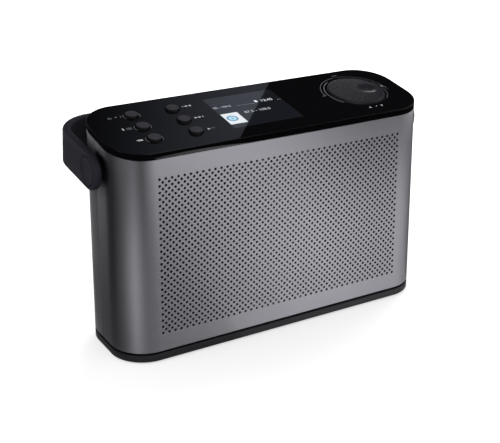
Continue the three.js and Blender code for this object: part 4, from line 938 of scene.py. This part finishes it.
class RADIO_OT_display(bpy.types.Operator):
    """Make the lit display behind the fascia, with a clock, a band scale and a status tile"""
    bl_idname = "radio.display"
    bl_label = "Display"

    def execute(self, context):
        settings = context.scene.radio_controls
        # The lit area lies a little to the left of the window's middle.
        glass = SignSheet(0.01 * MM)
        glass.shape([(-28.0, 12.6), (20.8, 12.6), (20.8, 54.5), (-28.0, 54.5)])
        pane = glass.make("display_pane")
        fit(pane, HOUSING, "display_glass",
            under_gloss("liquid crystal behind acrylic", srgb("#181b21"), 0.0, 2.2))

        white = under_gloss("lit white picture element", srgb("#e4eaee"), settings.glow)
        lit = SignSheet(0.025 * MM)
        lit.shape([(-27.6, 17.6), (-16.0, 17.6), (-16.0, 31.9), (-27.6, 31.9)])
        lit.bar(2.3, 41.6, 4.1, 41.6, 2.8)
        fit(lit.make("display_tile"), HOUSING, "display_lcd", white)

        rule = SignSheet(0.025 * MM)
        for index in range(13):
            rule.disc(-11.4 + index, 39.8 - 0.03 * index, 0.22, 8)
        rule.disc(18.2, 39.3, 0.3, 8)
        rule.disc(19.6, 39.2, 0.3, 8)
        grey = under_gloss("dim picture element", srgb("#b2b8be"), settings.glow)
        fit(rule.make("display_rule"), HOUSING, "display_lcd", grey)

        mark = SignSheet(0.03 * MM)
        mark.disc(-22.8, 24.9, 3.7, 40)
        blue = under_gloss("lit blue picture element", srgb("#b4dcf2"), settings.glow)
        fit(mark.make("display_mark"), HOUSING, "display_lcd", blue)
        ring = SignSheet(0.035 * MM)
        ring.arc(-22.8, 24.9, 3.1, 0, 360, 1.1, 40)
        ring.bar(-22.8, 23.6, -22.8, 26.2, 0.7)
        deep = under_gloss("lit slate picture element", srgb("#6c96b2"), settings.glow)
        fit(ring.make("display_ring"), HOUSING, "display_lcd", deep)

        for name, text, x, v, height, look in (
                ("display_preset", "05 - 104.2", -27.5, 40.0, 2.2, grey),
                ("display_clock", "12:45", 6.2, 40.0, 2.9, white),
                ("display_band", "87.5 - 108.0", -11.6, 28.7, 2.8, grey)):
            fit(self.digits(name, text, x, v, height), HOUSING, "display_lcd", look)
        return {"FINISHED"}

    def digits(self, name, text, x, v, height):
        """Numbers lying on the fascia, from their lower left corner. Millimetres."""
        curve = bpy.data.curves.new(name, "FONT")
        curve.body = text
        curve.size = height * 1.38 * MM  # the built-in font's size for numerals this tall
        curve.offset = 0.04 * MM
        writer = bpy.data.objects.new(name + "_font", curve)
        bpy.context.scene.collection.objects.link(writer)
        bpy.context.view_layer.update()
        shown = writer.evaluated_get(bpy.context.evaluated_depsgraph_get())
        mesh = bpy.data.meshes.new_from_object(shown)
        bpy.data.objects.remove(writer)
        mesh.transform(FASCIA @ Matrix.Translation((x * MM, v * MM, 0.03 * MM)))
        made = bpy.data.objects.new(name, mesh)
        bpy.context.scene.collection.objects.link(made)
        return made


# ------------------------------------------------------------------ buttons and knob

class RADIO_OT_buttons(bpy.types.Operator):
    """Make the six soft push buttons"""
    bl_idname = "radio.buttons"
    bl_label = "Push buttons"

    def execute(self, context):
        settings = context.scene.radio_controls
        rubber = moulded_plastic("moulded silicone keypad rubber", settings.button_color, 0.6,
                                 0.4 * MM, 0.02 * MM, 1.41)
        black = black_abs()
        radius, edge = 3.95 * MM, 0.25 * MM
        crown = 0.12 * MM  # rise of the cap's top over its rounded edge
        stem, stem_end = 1.6 * MM, -7.2 * MM
        flange, flange_low, flange_high = 5.2 * MM, -4.1 * MM, -2.8 * MM
        for name in BUTTONS:
            low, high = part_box(name + "_button")
            place = fascia_place((low + high) / 2)
            top = max(fascia_place(v.co).z for v in frame["nodes"][name + "_button"].data.vertices)
            spot = FASCIA @ Matrix.Translation((place.x, place.y, 0))
            split = top - crown - edge
            skirt = turned("button_skirt_" + name, [
                (0, stem_end), (stem, stem_end), (stem, flange_low), (flange, flange_low),
                (flange, flange_high), (radius, flange_high), (radius, split), (0, split)],
                48, spot)
            fit(skirt, name + "_button", "black_abs", black)
            profile = [(0, split)]
            profile += [(radius - inset, split + edge - drop)
                        for inset, drop in round_edge(edge, 5)]
            profile += [(radius * 0.5, top - crown / 4), (0, top)]
            cap = turned("button_cap_" + name, profile, 48, spot, sharp=50)
            fit(cap, name + "_button", "button_plastic", rubber, name + "_button")
        return {"FINISHED"}


class RADIO_OT_knob(bpy.types.Operator):
    """Make the tuning knob with its finger dimple"""
    bl_idname = "radio.knob"
    bl_label = "Tuning knob"

    def execute(self, context):
        settings = context.scene.radio_controls
        place = fascia_place(KNOB)
        spot = FASCIA @ Matrix.Translation((place.x, place.y, 0))
        side, top, edge = KNOB_SIDE, 1 * MM, 0.25 * MM
        radius = side - 0.9 * MM
        wall = 2 * MM
        web_low, web_high, rim = -2.4 * MM, -1.4 * MM, -3.6 * MM
        split = top - 0.4 * MM
        skirt = turned("knob_skirt", [
            (0, web_low), (side - wall, web_low), (side - wall, rim), (side, rim),
            (side, split - 0.4 * MM), (side - 0.15 * MM, split - 0.1 * MM),
            (side - 0.4 * MM, split), (15 * MM, split), (14 * MM, web_high), (0, web_high)],
            128, spot)
        fit(skirt, "tuning_knob", "black_abs", black_abs())
        floor = web_high + 0.1 * MM  # the cap's plug, just clear of the skirt
        profile = [(0, floor), (13.8 * MM, floor), (14.9 * MM, split), (radius, split)]
        profile += [(radius - inset, top - drop) for inset, drop in round_edge(edge, 5)]
        profile += [(radius - 0.6 * MM, top), (0, top)]
        knob = turned("knob_cap", profile, 128, spot)
        ball, depth, reach = 6.6 * MM, 1.15 * MM, 8.4 * MM
        bowl = []
        for step in range(9):
            share = step / 8
            bowl.append((ball * share, top - depth * (1 - share ** 2.2)))
        bowl += [(ball + 0.4 * MM, top + 0.02 * MM), (ball + 0.4 * MM, top + 2 * MM),
                 (0, top + 2 * MM)]
        bowl_place = spot @ Matrix.Translation((reach, 0, 0))
        carve(knob, turned("bowl", bowl, 64, bowl_place))
        true_flats(knob)
        plastic = moulded_plastic("moulded satin knob plastic", settings.knob_color, 0.28,
                                  0.35 * MM, 0.012 * MM, 1.45)
        fit(knob, "tuning_knob", "knob_plastic", plastic, "tuning_knob")
        return {"FINISHED"}


# ------------------------------------------------------------------ carry handle

class RADIO_OT_handle(bpy.types.Operator):
    """Make the carry handle as one bent strip with round edges, and its hub caps"""
    bl_idname = "radio.handle"
    bl_label = "Carry handle"

    def execute(self, context):
        settings = context.scene.radio_handle
        place = Matrix.Translation(HANDLE_PIVOT) @ Matrix.Rotation(HANDLE_TILT, 4, "X")
        half_width = HANDLE_HIGH.x
        thick, tall = 5.1 * MM, 22.7 * MM
        reach, bend = 57.1 * MM, 24.1 * MM
        half_thick, half_tall = thick / 2, tall / 2
        middle = half_width - half_thick
        bend_middle = bend - half_thick
        straight = reach - bend
        edge = settings.edge_radius

        stations = []  # centre x, y, outward x, y, half thickness, half height
        for step in range(1, 25):
            turn = math.radians(90 * step / 24)
            near = min(half_tall * (1 - math.cos(turn)), edge)
            pull = edge - math.sqrt(edge ** 2 - (edge - near) ** 2)
            stations.append((middle, -half_tall * math.cos(turn), 1, 0, half_thick - pull,
                             half_tall * math.sin(turn)))
        for step in range(1, 9):
            stations.append((middle, straight * step / 8, 1, 0, half_thick, half_tall))
        for step in range(1, 25):
            turn = math.radians(90 * step / 24)
            stations.append((half_width - bend + bend_middle * math.cos(turn),
                             straight + bend_middle * math.sin(turn),
                             math.cos(turn), math.sin(turn), half_thick, half_tall))
        x_end = half_width - bend
        for step in range(1, 13):
            x = x_end * (1 - step / 12)
            stations.append((x, reach - half_thick, 0, 1, half_thick, half_tall))
        mirrored = [(-x, y, -nx, ny, h, high) for x, y, nx, ny, h, high in stations[-2::-1]]
        rings = []
        for x, y, nx, ny, half, high in stations + mirrored:
            radius = min(edge, half * 0.95, high * 0.96)
            ring = rounded_box(-half, half, -high, high, radius, 5)
            rings.append([place @ Vector((x + nx * a, y + ny * a, z)) for a, z in ring])
        strip = loft("handle_strip", rings, sharp=50)
        skin = moulded_plastic("soft-touch coated ABS", settings.handle_color, 0.62, 0.6 * MM,
                               0.02 * MM, 1.3)

        cutters = []
        out = half_width
        hub = 8.6 * MM  # radius of the disc in each arm's round end
        seat = hub + 0.5 * MM
        for side in (1, -1):
            turn = Matrix.Rotation(side * math.pi / 2, 4, "Y")
            cutters.append(turned("cut", [
                (0, out - 1.6 * MM), (seat, out - 1.6 * MM), (seat, out - 0.25 * MM),
                (seat + 0.25 * MM, out + 0.001 * MM), (seat + 0.25 * MM, out + 1 * MM),
                (0, out + 1 * MM)], 64, place @ turn))
        carve(strip, *cutters)
        fit(strip, "handle", "handle_soft_touch", skin, "carry_handle")

        for side, name in ((1, "right"), (-1, "left")):
            turn = Matrix.Rotation(side * math.pi / 2, 4, "Y")
            cap = turned("hub_disc_" + name, [
                (0, out - 1.3 * MM), (hub, out - 1.3 * MM), (hub, out - 0.3 * MM),
                (hub - 0.1 * MM, out - 0.1 * MM), (hub - 0.3 * MM, out), (hub - 0.7 * MM, out),
                (hub - 1.2 * MM, out - 0.15 * MM), (6 * MM, out - 0.3 * MM),
                (0, out - 0.38 * MM)],
                72, place @ turn, sharp=50)
            fit(cap, "handle", "handle_soft_touch", skin, "hub_cap_" + name)
            low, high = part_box("handle_pivot_" + name)
            inner, outer = sorted((abs(low.x), abs(high.x)))
            stub = turned("pivot_bush_" + name, [
                (2 * MM, inner), (9 * MM, inner), (9 * MM, inner + 2 * MM), (5 * MM, inner + 2 * MM),
                (5 * MM, HALF_WIDTH + 0.3 * MM), (8 * MM, HALF_WIDTH + 0.3 * MM),
                (8 * MM, HALF_WIDTH + 1.35 * MM), (4 * MM, HALF_WIDTH + 1.35 * MM),
                (4 * MM, outer), (2 * MM, outer), (2 * MM, inner)],
                48, place @ turn)
            black = moulded_plastic("moulded acetal", srgb("#19191c"), 0.45, 0.5 * MM, 0.02 * MM)
            fit(stub, HOUSING, "black_abs", black, "handle_pivot_" + name)
        return {"FINISHED"}


# ------------------------------------------------------------------ aerial

class RADIO_OT_aerial(bpy.types.Operator):
    """Make the chromed telescopic aerial, each section on its own body"""
    bl_idname = "radio.aerial"
    bl_label = "Telescopic aerial"

    def execute(self, context):
        chrome = plated_steel("chromed brass tube", srgb("#d4d5d8"), 0.12, 3 * MM)
        along = Matrix.Translation(AERIAL) @ Matrix.Rotation(math.pi / 2, 4, "Y")
        low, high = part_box("aerial_tube")
        start, end = -8 * MM, low.x - AERIAL.x
        radius = AERIAL_TUBE
        lip = 0.25 * MM
        tube = turned("aerial_outer", [
            (radius - lip, end), (radius - 0.05 * MM, end), (radius, end + 0.1 * MM),
            (radius, start - 0.2 * MM), (radius, start), (radius * 0.9, start + 0.8 * MM),
            (1.6 * MM, start + 2.4 * MM), (0, start + 2.4 * MM), (0, start - 1 * MM),
            (radius - lip, start - 1 * MM), (radius - lip, end)], 40, along, sharp=30)
        tongue = rounded_box(-8 * MM, 1.9 * MM, -1.9 * MM, 1.9 * MM, 1.85 * MM, 10)
        flat = loft("tongue", [[AERIAL + Vector((x, y, z)) for x, y in tongue]
                               for z in (-1 * MM, 1 * MM)])
        combine(tube, "UNION", flat)
        fit(tube, "aerial_rod", "aerial_chrome", chrome, "aerial_tube")

        for index in range(1, 5):
            name = f"aerial_section_{index}"
            low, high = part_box(name)
            size = radius - index * 0.45 * MM
            near, far = high.x - AERIAL.x, low.x - AERIAL.x
            if index < 4:
                profile = [(size - lip, far), (size - 0.05 * MM, far), (size, far + 0.1 * MM),
                           (size, near), (size - lip, near), (size - lip, far)]
            else:
                tip = far + 7 * MM
                profile = [(0, far), (1.4 * MM, far), (1.9 * MM, far + 0.15 * MM),
                           (radius, far + 0.6 * MM), (radius, tip - 0.5 * MM),
                           (1.9 * MM, tip - 0.1 * MM), (1.5 * MM, tip), (size, tip),
                           (size, near), (0, near)]
            part = turned(f"aerial_stage_{index}", profile, 32, along, sharp=30)
            fit(part, name, "aerial_chrome", chrome, name)

        low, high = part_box("aerial_swivel")
        across = Matrix.Translation(AERIAL) @ Matrix.Rotation(-math.pi / 2, 4, "X")
        head_front, head_back = BACK + 0.3 * MM - AERIAL.y, high.y - AERIAL.y
        nut_back = BACK - 2.3 * MM - AERIAL.y
        swivel = turned("aerial_head", [
            (0, low.y - AERIAL.y), (4 * MM, low.y - AERIAL.y), (4 * MM, nut_back),
            (2 * MM, nut_back), (2 * MM, head_front), (3.7 * MM, head_front),
            (4 * MM, head_front + 0.3 * MM), (4 * MM, head_back - 0.6 * MM),
            (3.5 * MM, head_back), (0, head_back)], 48, across)
        slot = 1.3 * MM
        gap = [AERIAL + Vector((x, y, z)) for z in (-slot, slot)
               for x, y in ((-9 * MM, -2.35 * MM), (9 * MM, -2.35 * MM), (9 * MM, 9 * MM),
                            (-9 * MM, 9 * MM))]
        carve(swivel, loft("gap", [gap[:4], gap[4:]]))
        fit(swivel, "aerial_swivel", "aerial_chrome", chrome, "aerial_swivel")
        pin = turned("aerial_rivet", [(0, -3.2 * MM), (0.75 * MM, -3.2 * MM), (0.9 * MM, -3 * MM),
                                      (0.9 * MM, 3 * MM), (0.75 * MM, 3.2 * MM), (0, 3.2 * MM)],
                     24, Matrix.Translation(AERIAL))
        fit(pin, "aerial_swivel", "aerial_chrome", chrome, "aerial_pin")
        return {"FINISHED"}


# ------------------------------------------------------------------ sockets and inside

class RADIO_OT_inside(bpy.types.Operator):
    """Give the CAD pieces that stay, inside the housing and at the back, their finishes"""
    bl_idname = "radio.inside"
    bl_label = "Inside pieces"

    def execute(self, context):
        black = moulded_plastic("moulded black ABS", srgb("#1c1c20"), 0.5, 0.5 * MM, 0.02 * MM)
        steel = plated_steel("zinc plated steel", srgb("#b9bac0"), 0.3, 2 * MM)
        basket = plated_steel("black plated steel", srgb("#4b4b50"), 0.45, 4 * MM)
        paper = pulp_paper(srgb("#242427"))
        cloth = woven_cloth(srgb("#0c0c0e"))
        board = circuit_board()
        wrap = moulded_plastic("shrunk PVC wrap", srgb("#2b5f9e"), 0.35, 2 * MM, 0.02 * MM)
        lcd = moulded_plastic("display module frame", srgb("#16181c"), 0.4, 1 * MM, 0.01 * MM)
        finishes = {
            "grille_cloth": cloth, "front_frame": black, "left_speaker": basket,
            "right_speaker": basket, "left_speaker_cone": paper, "right_speaker_cone": paper,
            "battery_pack": wrap, "main_board": board, "control_board": board,
            "dc_socket": black, "aux_socket": black, "headphone_socket": black,
            "display_module": lcd, "encoder_body": black, "encoder_shaft": steel,
            "encoder_plunger": steel, "pivot_screw_left": steel, "pivot_screw_right": steel,
            "case_screw_1": steel, "case_screw_2": steel, "case_screw_3": steel,
            "case_screw_4": steel,
        }
        for name, finish in finishes.items():
            node = frame["nodes"][name]
            node.data.materials.clear()
            node.data.materials.append(finish)

        across = Matrix.Rotation(-math.pi / 2, 4, "X")
        face = BACK - 1.0 * MM
        for name, outside, bore in SOCKETS:
            low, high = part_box(name)
            centre = (low + high) / 2
            spot = Matrix.Translation((centre.x, face, centre.z)) @ across
            ring = turned(name + "_rim", [
                (bore, -3 * MM), (outside, -3 * MM), (outside, 0.1 * MM),
                (outside - 0.25 * MM, 0.3 * MM), (bore + 0.35 * MM, 0.3 * MM),
                (bore, 0), (bore, -3 * MM)], 40, spot, sharp=30)
            fit(ring, HOUSING, "screw_steel", black if name == "dc_socket" else steel)
        return {"FINISHED"}


# ------------------------------------------------------------------ stage

class RADIO_OT_stage(bpy.types.Operator):
    """Set the pale floor, the studio lights, the tent that the metal reflects and the camera"""
    bl_idname = "radio.stage"
    bl_label = "Studio"

    def execute(self, context):
        settings = context.scene.radio_stage
        self.floor()
        self.world(context.scene)
        self.tent()
        self.canopy()
        self.lamp("key", (0.9, 0.75, 1.3), (0, 0, 0.05), 1.2, settings.key_power)
        self.lamp("fill", (-1.3, -0.3, 1.2), (0, 0, 0.06), 1.4, settings.fill_power)
        self.lamp("front", (0.7, -1.2, 0.8), (0, 0, 0.06), 1.2, settings.fill_power * 0.35)
        self.camera(context.scene)
        context.scene.view_settings.view_transform = "Standard"
        return {"FINISHED"}

    def lamp(self, name, place, target, size, power):
        light = bpy.data.lights.new(name, "AREA")
        light.shape = "DISK"
        light.size = size
        light.energy = power
        lamp = bpy.data.objects.new(name, light)
        lamp.location = place
        aim = Vector(target) - Vector(place)
        lamp.rotation_euler = aim.to_track_quat("-Z", "Y").to_euler()
        lamp.visible_glossy = False
        bpy.context.scene.collection.objects.link(lamp)

    def floor(self):
        steps = 96
        radius = 3.0
        points = [Vector((radius * math.cos(2 * math.pi * i / steps),
                          radius * math.sin(2 * math.pi * i / steps), 0)) for i in range(steps)]
        ground = mesh_piece("studio_floor", points, [tuple(range(steps))])
        made = new_material("pale paper sweep")
        tree = made.node_tree
        paper = add_node(tree, "ShaderNodeBsdfDiffuse", values={"Color": srgb("#d8d8d8")})
        place = add_node(tree, "ShaderNodeTexCoord")
        away = add_node(tree, "ShaderNodeVectorMath", {"operation": "LENGTH"},
                        links={0: place.outputs["Object"]})
        shine = add_node(tree, "ShaderNodeMapRange", {"interpolation_type": "SMOOTHSTEP"},
                         {"From Min": 0.05, "From Max": 0.55, "To Min": 0.53, "To Max": 1.0},
                         {"Value": away.outputs["Value"]})
        glow = add_node(tree, "ShaderNodeEmission", values={"Color": srgb("#ffffff")},
                        links={"Strength": shine.outputs["Result"]})
        bright = add_node(tree, "ShaderNodeAddShader",
                          links={0: paper.outputs["BSDF"], 1: glow.outputs["Emission"]})
        ray = add_node(tree, "ShaderNodeLightPath")
        seen = add_node(tree, "ShaderNodeMixShader",
                        links={0: ray.outputs["Is Camera Ray"], 1: paper.outputs["BSDF"],
                               2: bright.outputs["Shader"]})
        add_node(tree, "ShaderNodeOutputMaterial", links={"Surface": seen.outputs["Shader"]})
        ground.data.materials.append(made)

    def world(self, scene):
        world = bpy.data.worlds.new("studio")
        world.use_nodes = True
        tree = world.node_tree
        tree.nodes.clear()
        ray = add_node(tree, "ShaderNodeLightPath")
        direct = add_node(tree, "ShaderNodeMath", {"operation": "MAXIMUM"},
                          links={0: ray.outputs["Is Camera Ray"], 1: ray.outputs["Is Glossy Ray"]})
        either = add_node(tree, "ShaderNodeMath", {"operation": "MAXIMUM"},
                          links={0: direct.outputs["Value"],
                                 1: ray.outputs["Is Transmission Ray"]})
        shine = add_node(tree, "ShaderNodeMapRange", values={"To Min": 0.45, "To Max": 1.0},
                         links={"Value": either.outputs["Value"]})
        sky = add_node(tree, "ShaderNodeBackground", values={"Color": srgb("#ffffff")},
                       links={"Strength": shine.outputs["Result"]})
        add_node(tree, "ShaderNodeOutputWorld", links={"Surface": sky.outputs["Background"]})
        scene.world = world

    def reflected_only(self, thing, material):
        thing.data.materials.append(material)
        for way in ("camera", "diffuse", "transmission", "volume_scatter", "shadow"):
            setattr(thing, "visible_" + way, False)

    def ring(self, name, radius, low, high):
        steps = 144
        circle = [(radius * math.cos(2 * math.pi * i / steps),
                   radius * math.sin(2 * math.pi * i / steps)) for i in range(steps)]
        points = level(circle, low) + level(circle, high)
        faces = [(i, (i + 1) % steps, steps + (i + 1) % steps, steps + i) for i in range(steps)]
        return mesh_piece(name, points, faces)

    def tent(self):
        """Low wall of lit card round the radio, which only its metal and gloss reflect."""
        made = new_material("lit card")
        tree = made.node_tree
        place = add_node(tree, "ShaderNodeTexCoord")
        turn = add_node(tree, "ShaderNodeTexGradient", {"gradient_type": "RADIAL"},
                        links={"Vector": place.outputs["Object"]})
        # Degrees from the front, positive towards the right: light low down, light high up.
        card = [(-165, 1.1, 0.9), (-150, 1.0, 0.8), (-120, 0.24, 1.4), (-105, 0.05, 0.2),
                (-90, 0.05, 0.2), (-75, 0.35, 0.5), (-60, 1.38, 0.37), (-45, 0.44, 0.03),
                (-30, 0.2, 1.1), (-15, 0.1, 2.2), (0, 1.0, 2.1), (15, 2.4, 1.27),
                (30, 2.86, 0.2), (45, 1.7, 0.05), (60, 1.4, 0.85), (75, 0.6, 1.7),
                (90, 0.05, 1.2), (105, 0.1, 1.0), (135, 0.4, 1.0), (165, 0.6, 0.9)]
        brightest = 3.0
        ramps = []
        for column in (1, 2):
            ramp = add_node(tree, "ShaderNodeValToRGB", links={"Fac": turn.outputs["Fac"]})
            stops = sorted(((0.25 + row[0] / 360) % 1, row[column] / brightest) for row in card)
            elements = ramp.color_ramp.elements
            while len(elements) < len(stops):
                elements.new(0.5)
            for element, (position, value) in zip(elements, stops):
                element.position = position
                element.color = (value, value, value, 1)
            ramps.append(ramp.outputs["Color"])
        height = add_node(tree, "ShaderNodeSeparateXYZ", links={0: place.outputs["Object"]})
        rise = add_node(tree, "ShaderNodeMapRange", {"interpolation_type": "SMOOTHSTEP"},
                        {"From Min": 0.05, "From Max": 0.14}, {"Value": height.outputs["Z"]})
        both = add_node(tree, "ShaderNodeMix", {"data_type": "RGBA"},
                        links={0: rise.outputs["Result"], 6: ramps[0], 7: ramps[1]})
        light = add_node(tree, "ShaderNodeEmission", values={"Strength": brightest},
                         links={"Color": both.outputs[2]})
        add_node(tree, "ShaderNodeOutputMaterial", links={"Surface": light.outputs["Emission"]})
        radius = 0.17
        front = self.ring("light_tent", radius, 0.0, 0.4)
        for vertex in front.data.vertices:  # lower behind, clear of what the fascia reflects
            if vertex.co.z > 0.1 and vertex.co.y > -0.02:
                vertex.co.z = 0.135
        self.reflected_only(front, made)
        tape_low, tape_high = 0.082, 0.112
        tape = self.ring("black_tape", radius - 2 * MM, tape_low, tape_high)
        self.reflected_only(tape, self.black_card())

    def black_card(self):
        """Black card, which sends back just enough light to keep the gloss from going dead."""
        return self.plain_card("black card", 0.0125)

    def plain_card(self, name, brightness):
        """Card of one brightness, slightly mottled."""
        made = new_material(name)
        tree = made.node_tree
        place = add_node(tree, "ShaderNodeTexCoord")
        mottle = add_node(tree, "ShaderNodeTexNoise", values={"Scale": 3.0},
                          links={"Vector": place.outputs["Object"]})
        shine = add_node(tree, "ShaderNodeMapRange",
                         values={"To Min": brightness * 0.6, "To Max": brightness * 1.4},
                         links={"Value": mottle.outputs["Fac"]})
        light = add_node(tree, "ShaderNodeEmission", links={"Strength": shine.outputs["Result"]})
        add_node(tree, "ShaderNodeOutputMaterial", links={"Surface": light.outputs["Emission"]})
        return made

    def canopy(self):
        """Black card behind and over the radio with a soft light in it, for the gloss."""
        dome = 1.6
        profile = [(dome * math.cos(math.radians(turn)), dome * math.sin(math.radians(turn)))
                   for turn in (14, 30, 45, 60, 75, 90)]
        steps = 48
        points = [Vector((r * math.cos(2 * math.pi * i / steps),
                          r * math.sin(2 * math.pi * i / steps), z))
                  for r, z in profile for i in range(steps)]
        faces = [(k * steps + i, k * steps + (i + 1) % steps, (k + 1) * steps + (i + 1) % steps,
                  (k + 1) * steps + i) for k in range(len(profile) - 1) for i in range(steps)]
        self.reflected_only(mesh_piece("black_canopy", points, faces), self.black_card())

        reach = 0.15
        near = [(KNOB.x + reach * math.sin(math.radians(turn)),
                 KNOB.y + reach * math.cos(math.radians(turn))) for turn in range(24, 45, 5)]
        count = len(near)
        low, high = KNOB.z + 0.03, KNOB.z + 0.055
        self.reflected_only(mesh_piece("dimple_card", level(near, low) + level(near, high), [
            (i, i + 1, count + i + 1, count + i) for i in range(count - 1)]),
            self.plain_card("dimple card", 2.0))
        # Cards on the floor that only the metal reflects: painted shade on the floor to the left and
        # right of the radio, and painted light on the floor in front, brighter towards the right.
        for name, brightness, outline in (
                ("left_floor_shade_card", 0.12,
                 [(-0.6, -0.16), (-0.112, -0.05), (-0.112, 0.2), (-0.6, 0.4)]),
                ("right_floor_shade_card", 0.15,
                 [(0.6, -0.1), (0.112, -0.03), (0.112, 0.2), (0.6, 0.4)]),
                ("front_floor_light_card_1", 0.66,
                 [(-0.02, -0.15), (0.02, -0.15), (0.01, -0.046), (-0.03, -0.046)]),
                ("front_floor_light_card_2", 0.76,
                 [(0.02, -0.15), (0.06, -0.15), (0.05, -0.046), (0.01, -0.046)]),
                ("front_floor_light_card_3", 0.88,
                 [(0.06, -0.15), (0.15, -0.15), (0.115, -0.046), (0.05, -0.046)])):
            self.reflected_only(mesh_piece(name, level(outline, 0.5 * MM), [(0, 1, 2, 3)]),
                                self.plain_card(name.replace("_", " "), brightness))

        left, right_low, right_high = 0.30, (0.897, 0.4), (0.503, 1.6)
        panel = mesh_piece("soft_panel", [
            (left, 0.99, right_low[1]), (right_low[0], 0.99, right_low[1]),
            (right_high[0], 0.99, right_high[1]), (left, 0.99, right_high[1])], [(0, 1, 2, 3)])
        made = new_material("graduated soft light")
        tree = made.node_tree
        place = add_node(tree, "ShaderNodeTexCoord")
        across = add_node(tree, "ShaderNodeSeparateXYZ", links={0: place.outputs["Object"]})
        shine = add_node(tree, "ShaderNodeMapRange", {"interpolation_type": "SMOOTHSTEP"},
                         {"From Min": left, "From Max": 0.75, "To Min": 0.0, "To Max": 0.28},
                         {"Value": across.outputs["X"]})
        light = add_node(tree, "ShaderNodeEmission", values={"Color": srgb("#e4ecff")},
                         links={"Strength": shine.outputs["Result"]})
        add_node(tree, "ShaderNodeOutputMaterial", links={"Surface": light.outputs["Emission"]})
        self.reflected_only(panel, made)

    def camera(self, scene):
        """Short telephoto view from the front left and a little above."""
        data = bpy.data.cameras.new("camera")
        data.sensor_width = 36
        data.lens = 78.925
        data.shift_y = -0.2111
        view = bpy.data.objects.new("camera", data)
        azimuth, elevation = math.radians(-30.2701), math.radians(16.8205)
        back = Vector((math.sin(azimuth) * math.cos(elevation),
                       -math.cos(azimuth) * math.cos(elevation), math.sin(elevation)))
        view.location = Vector((-0.332965, FRONT - 0.527873, 0.327762))
        view.rotation_euler = back.to_track_quat("Z", "Y").to_euler()
        scene.collection.objects.link(view)
        scene.camera = view


# ------------------------------------------------------------------ panel

STEPS = (RADIO_OT_sleeve, RADIO_OT_rear_cover, RADIO_OT_base, RADIO_OT_fascia, RADIO_OT_signs,
         RADIO_OT_display, RADIO_OT_buttons, RADIO_OT_knob, RADIO_OT_handle, RADIO_OT_aerial,
         RADIO_OT_inside, RADIO_OT_stage)
SETTINGS = (("radio_body", RadioBodySettings), ("radio_controls", RadioControlSettings),
            ("radio_handle", RadioHandleSettings), ("radio_stage", RadioStageSettings))


class RADIO_PT_panel(bpy.types.Panel):
    """Settings and steps of the radio"""
    bl_idname = "RADIO_PT_panel"
    bl_label = "Tabletop radio"
    bl_space_type = "VIEW_3D"
    bl_region_type = "UI"
    bl_category = "Radio"

    def draw(self, context):
        for name, group in SETTINGS:
            box = self.layout.box()
            box.label(text=group.__doc__)
            for field in group.__annotations__:
                box.prop(getattr(context.scene, name), field)
        for step in STEPS:
            self.layout.operator(step.bl_idname)


def register():
    for name, group in SETTINGS:
        bpy.utils.register_class(group)
        setattr(bpy.types.Scene, name, PointerProperty(type=group))
    for step in STEPS:
        bpy.utils.register_class(step)
    bpy.utils.register_class(RADIO_PT_panel)


def unregister():
    bpy.utils.unregister_class(RADIO_PT_panel)
    for step in reversed(STEPS):
        bpy.utils.unregister_class(step)
    for name, group in reversed(SETTINGS):
        delattr(bpy.types.Scene, name)
        bpy.utils.unregister_class(group)


def main():
    register()
    for step in STEPS:
        area, name = step.bl_idname.split(".")
        getattr(getattr(bpy.ops, area), name)()


if __name__ == "__main__":
    main()
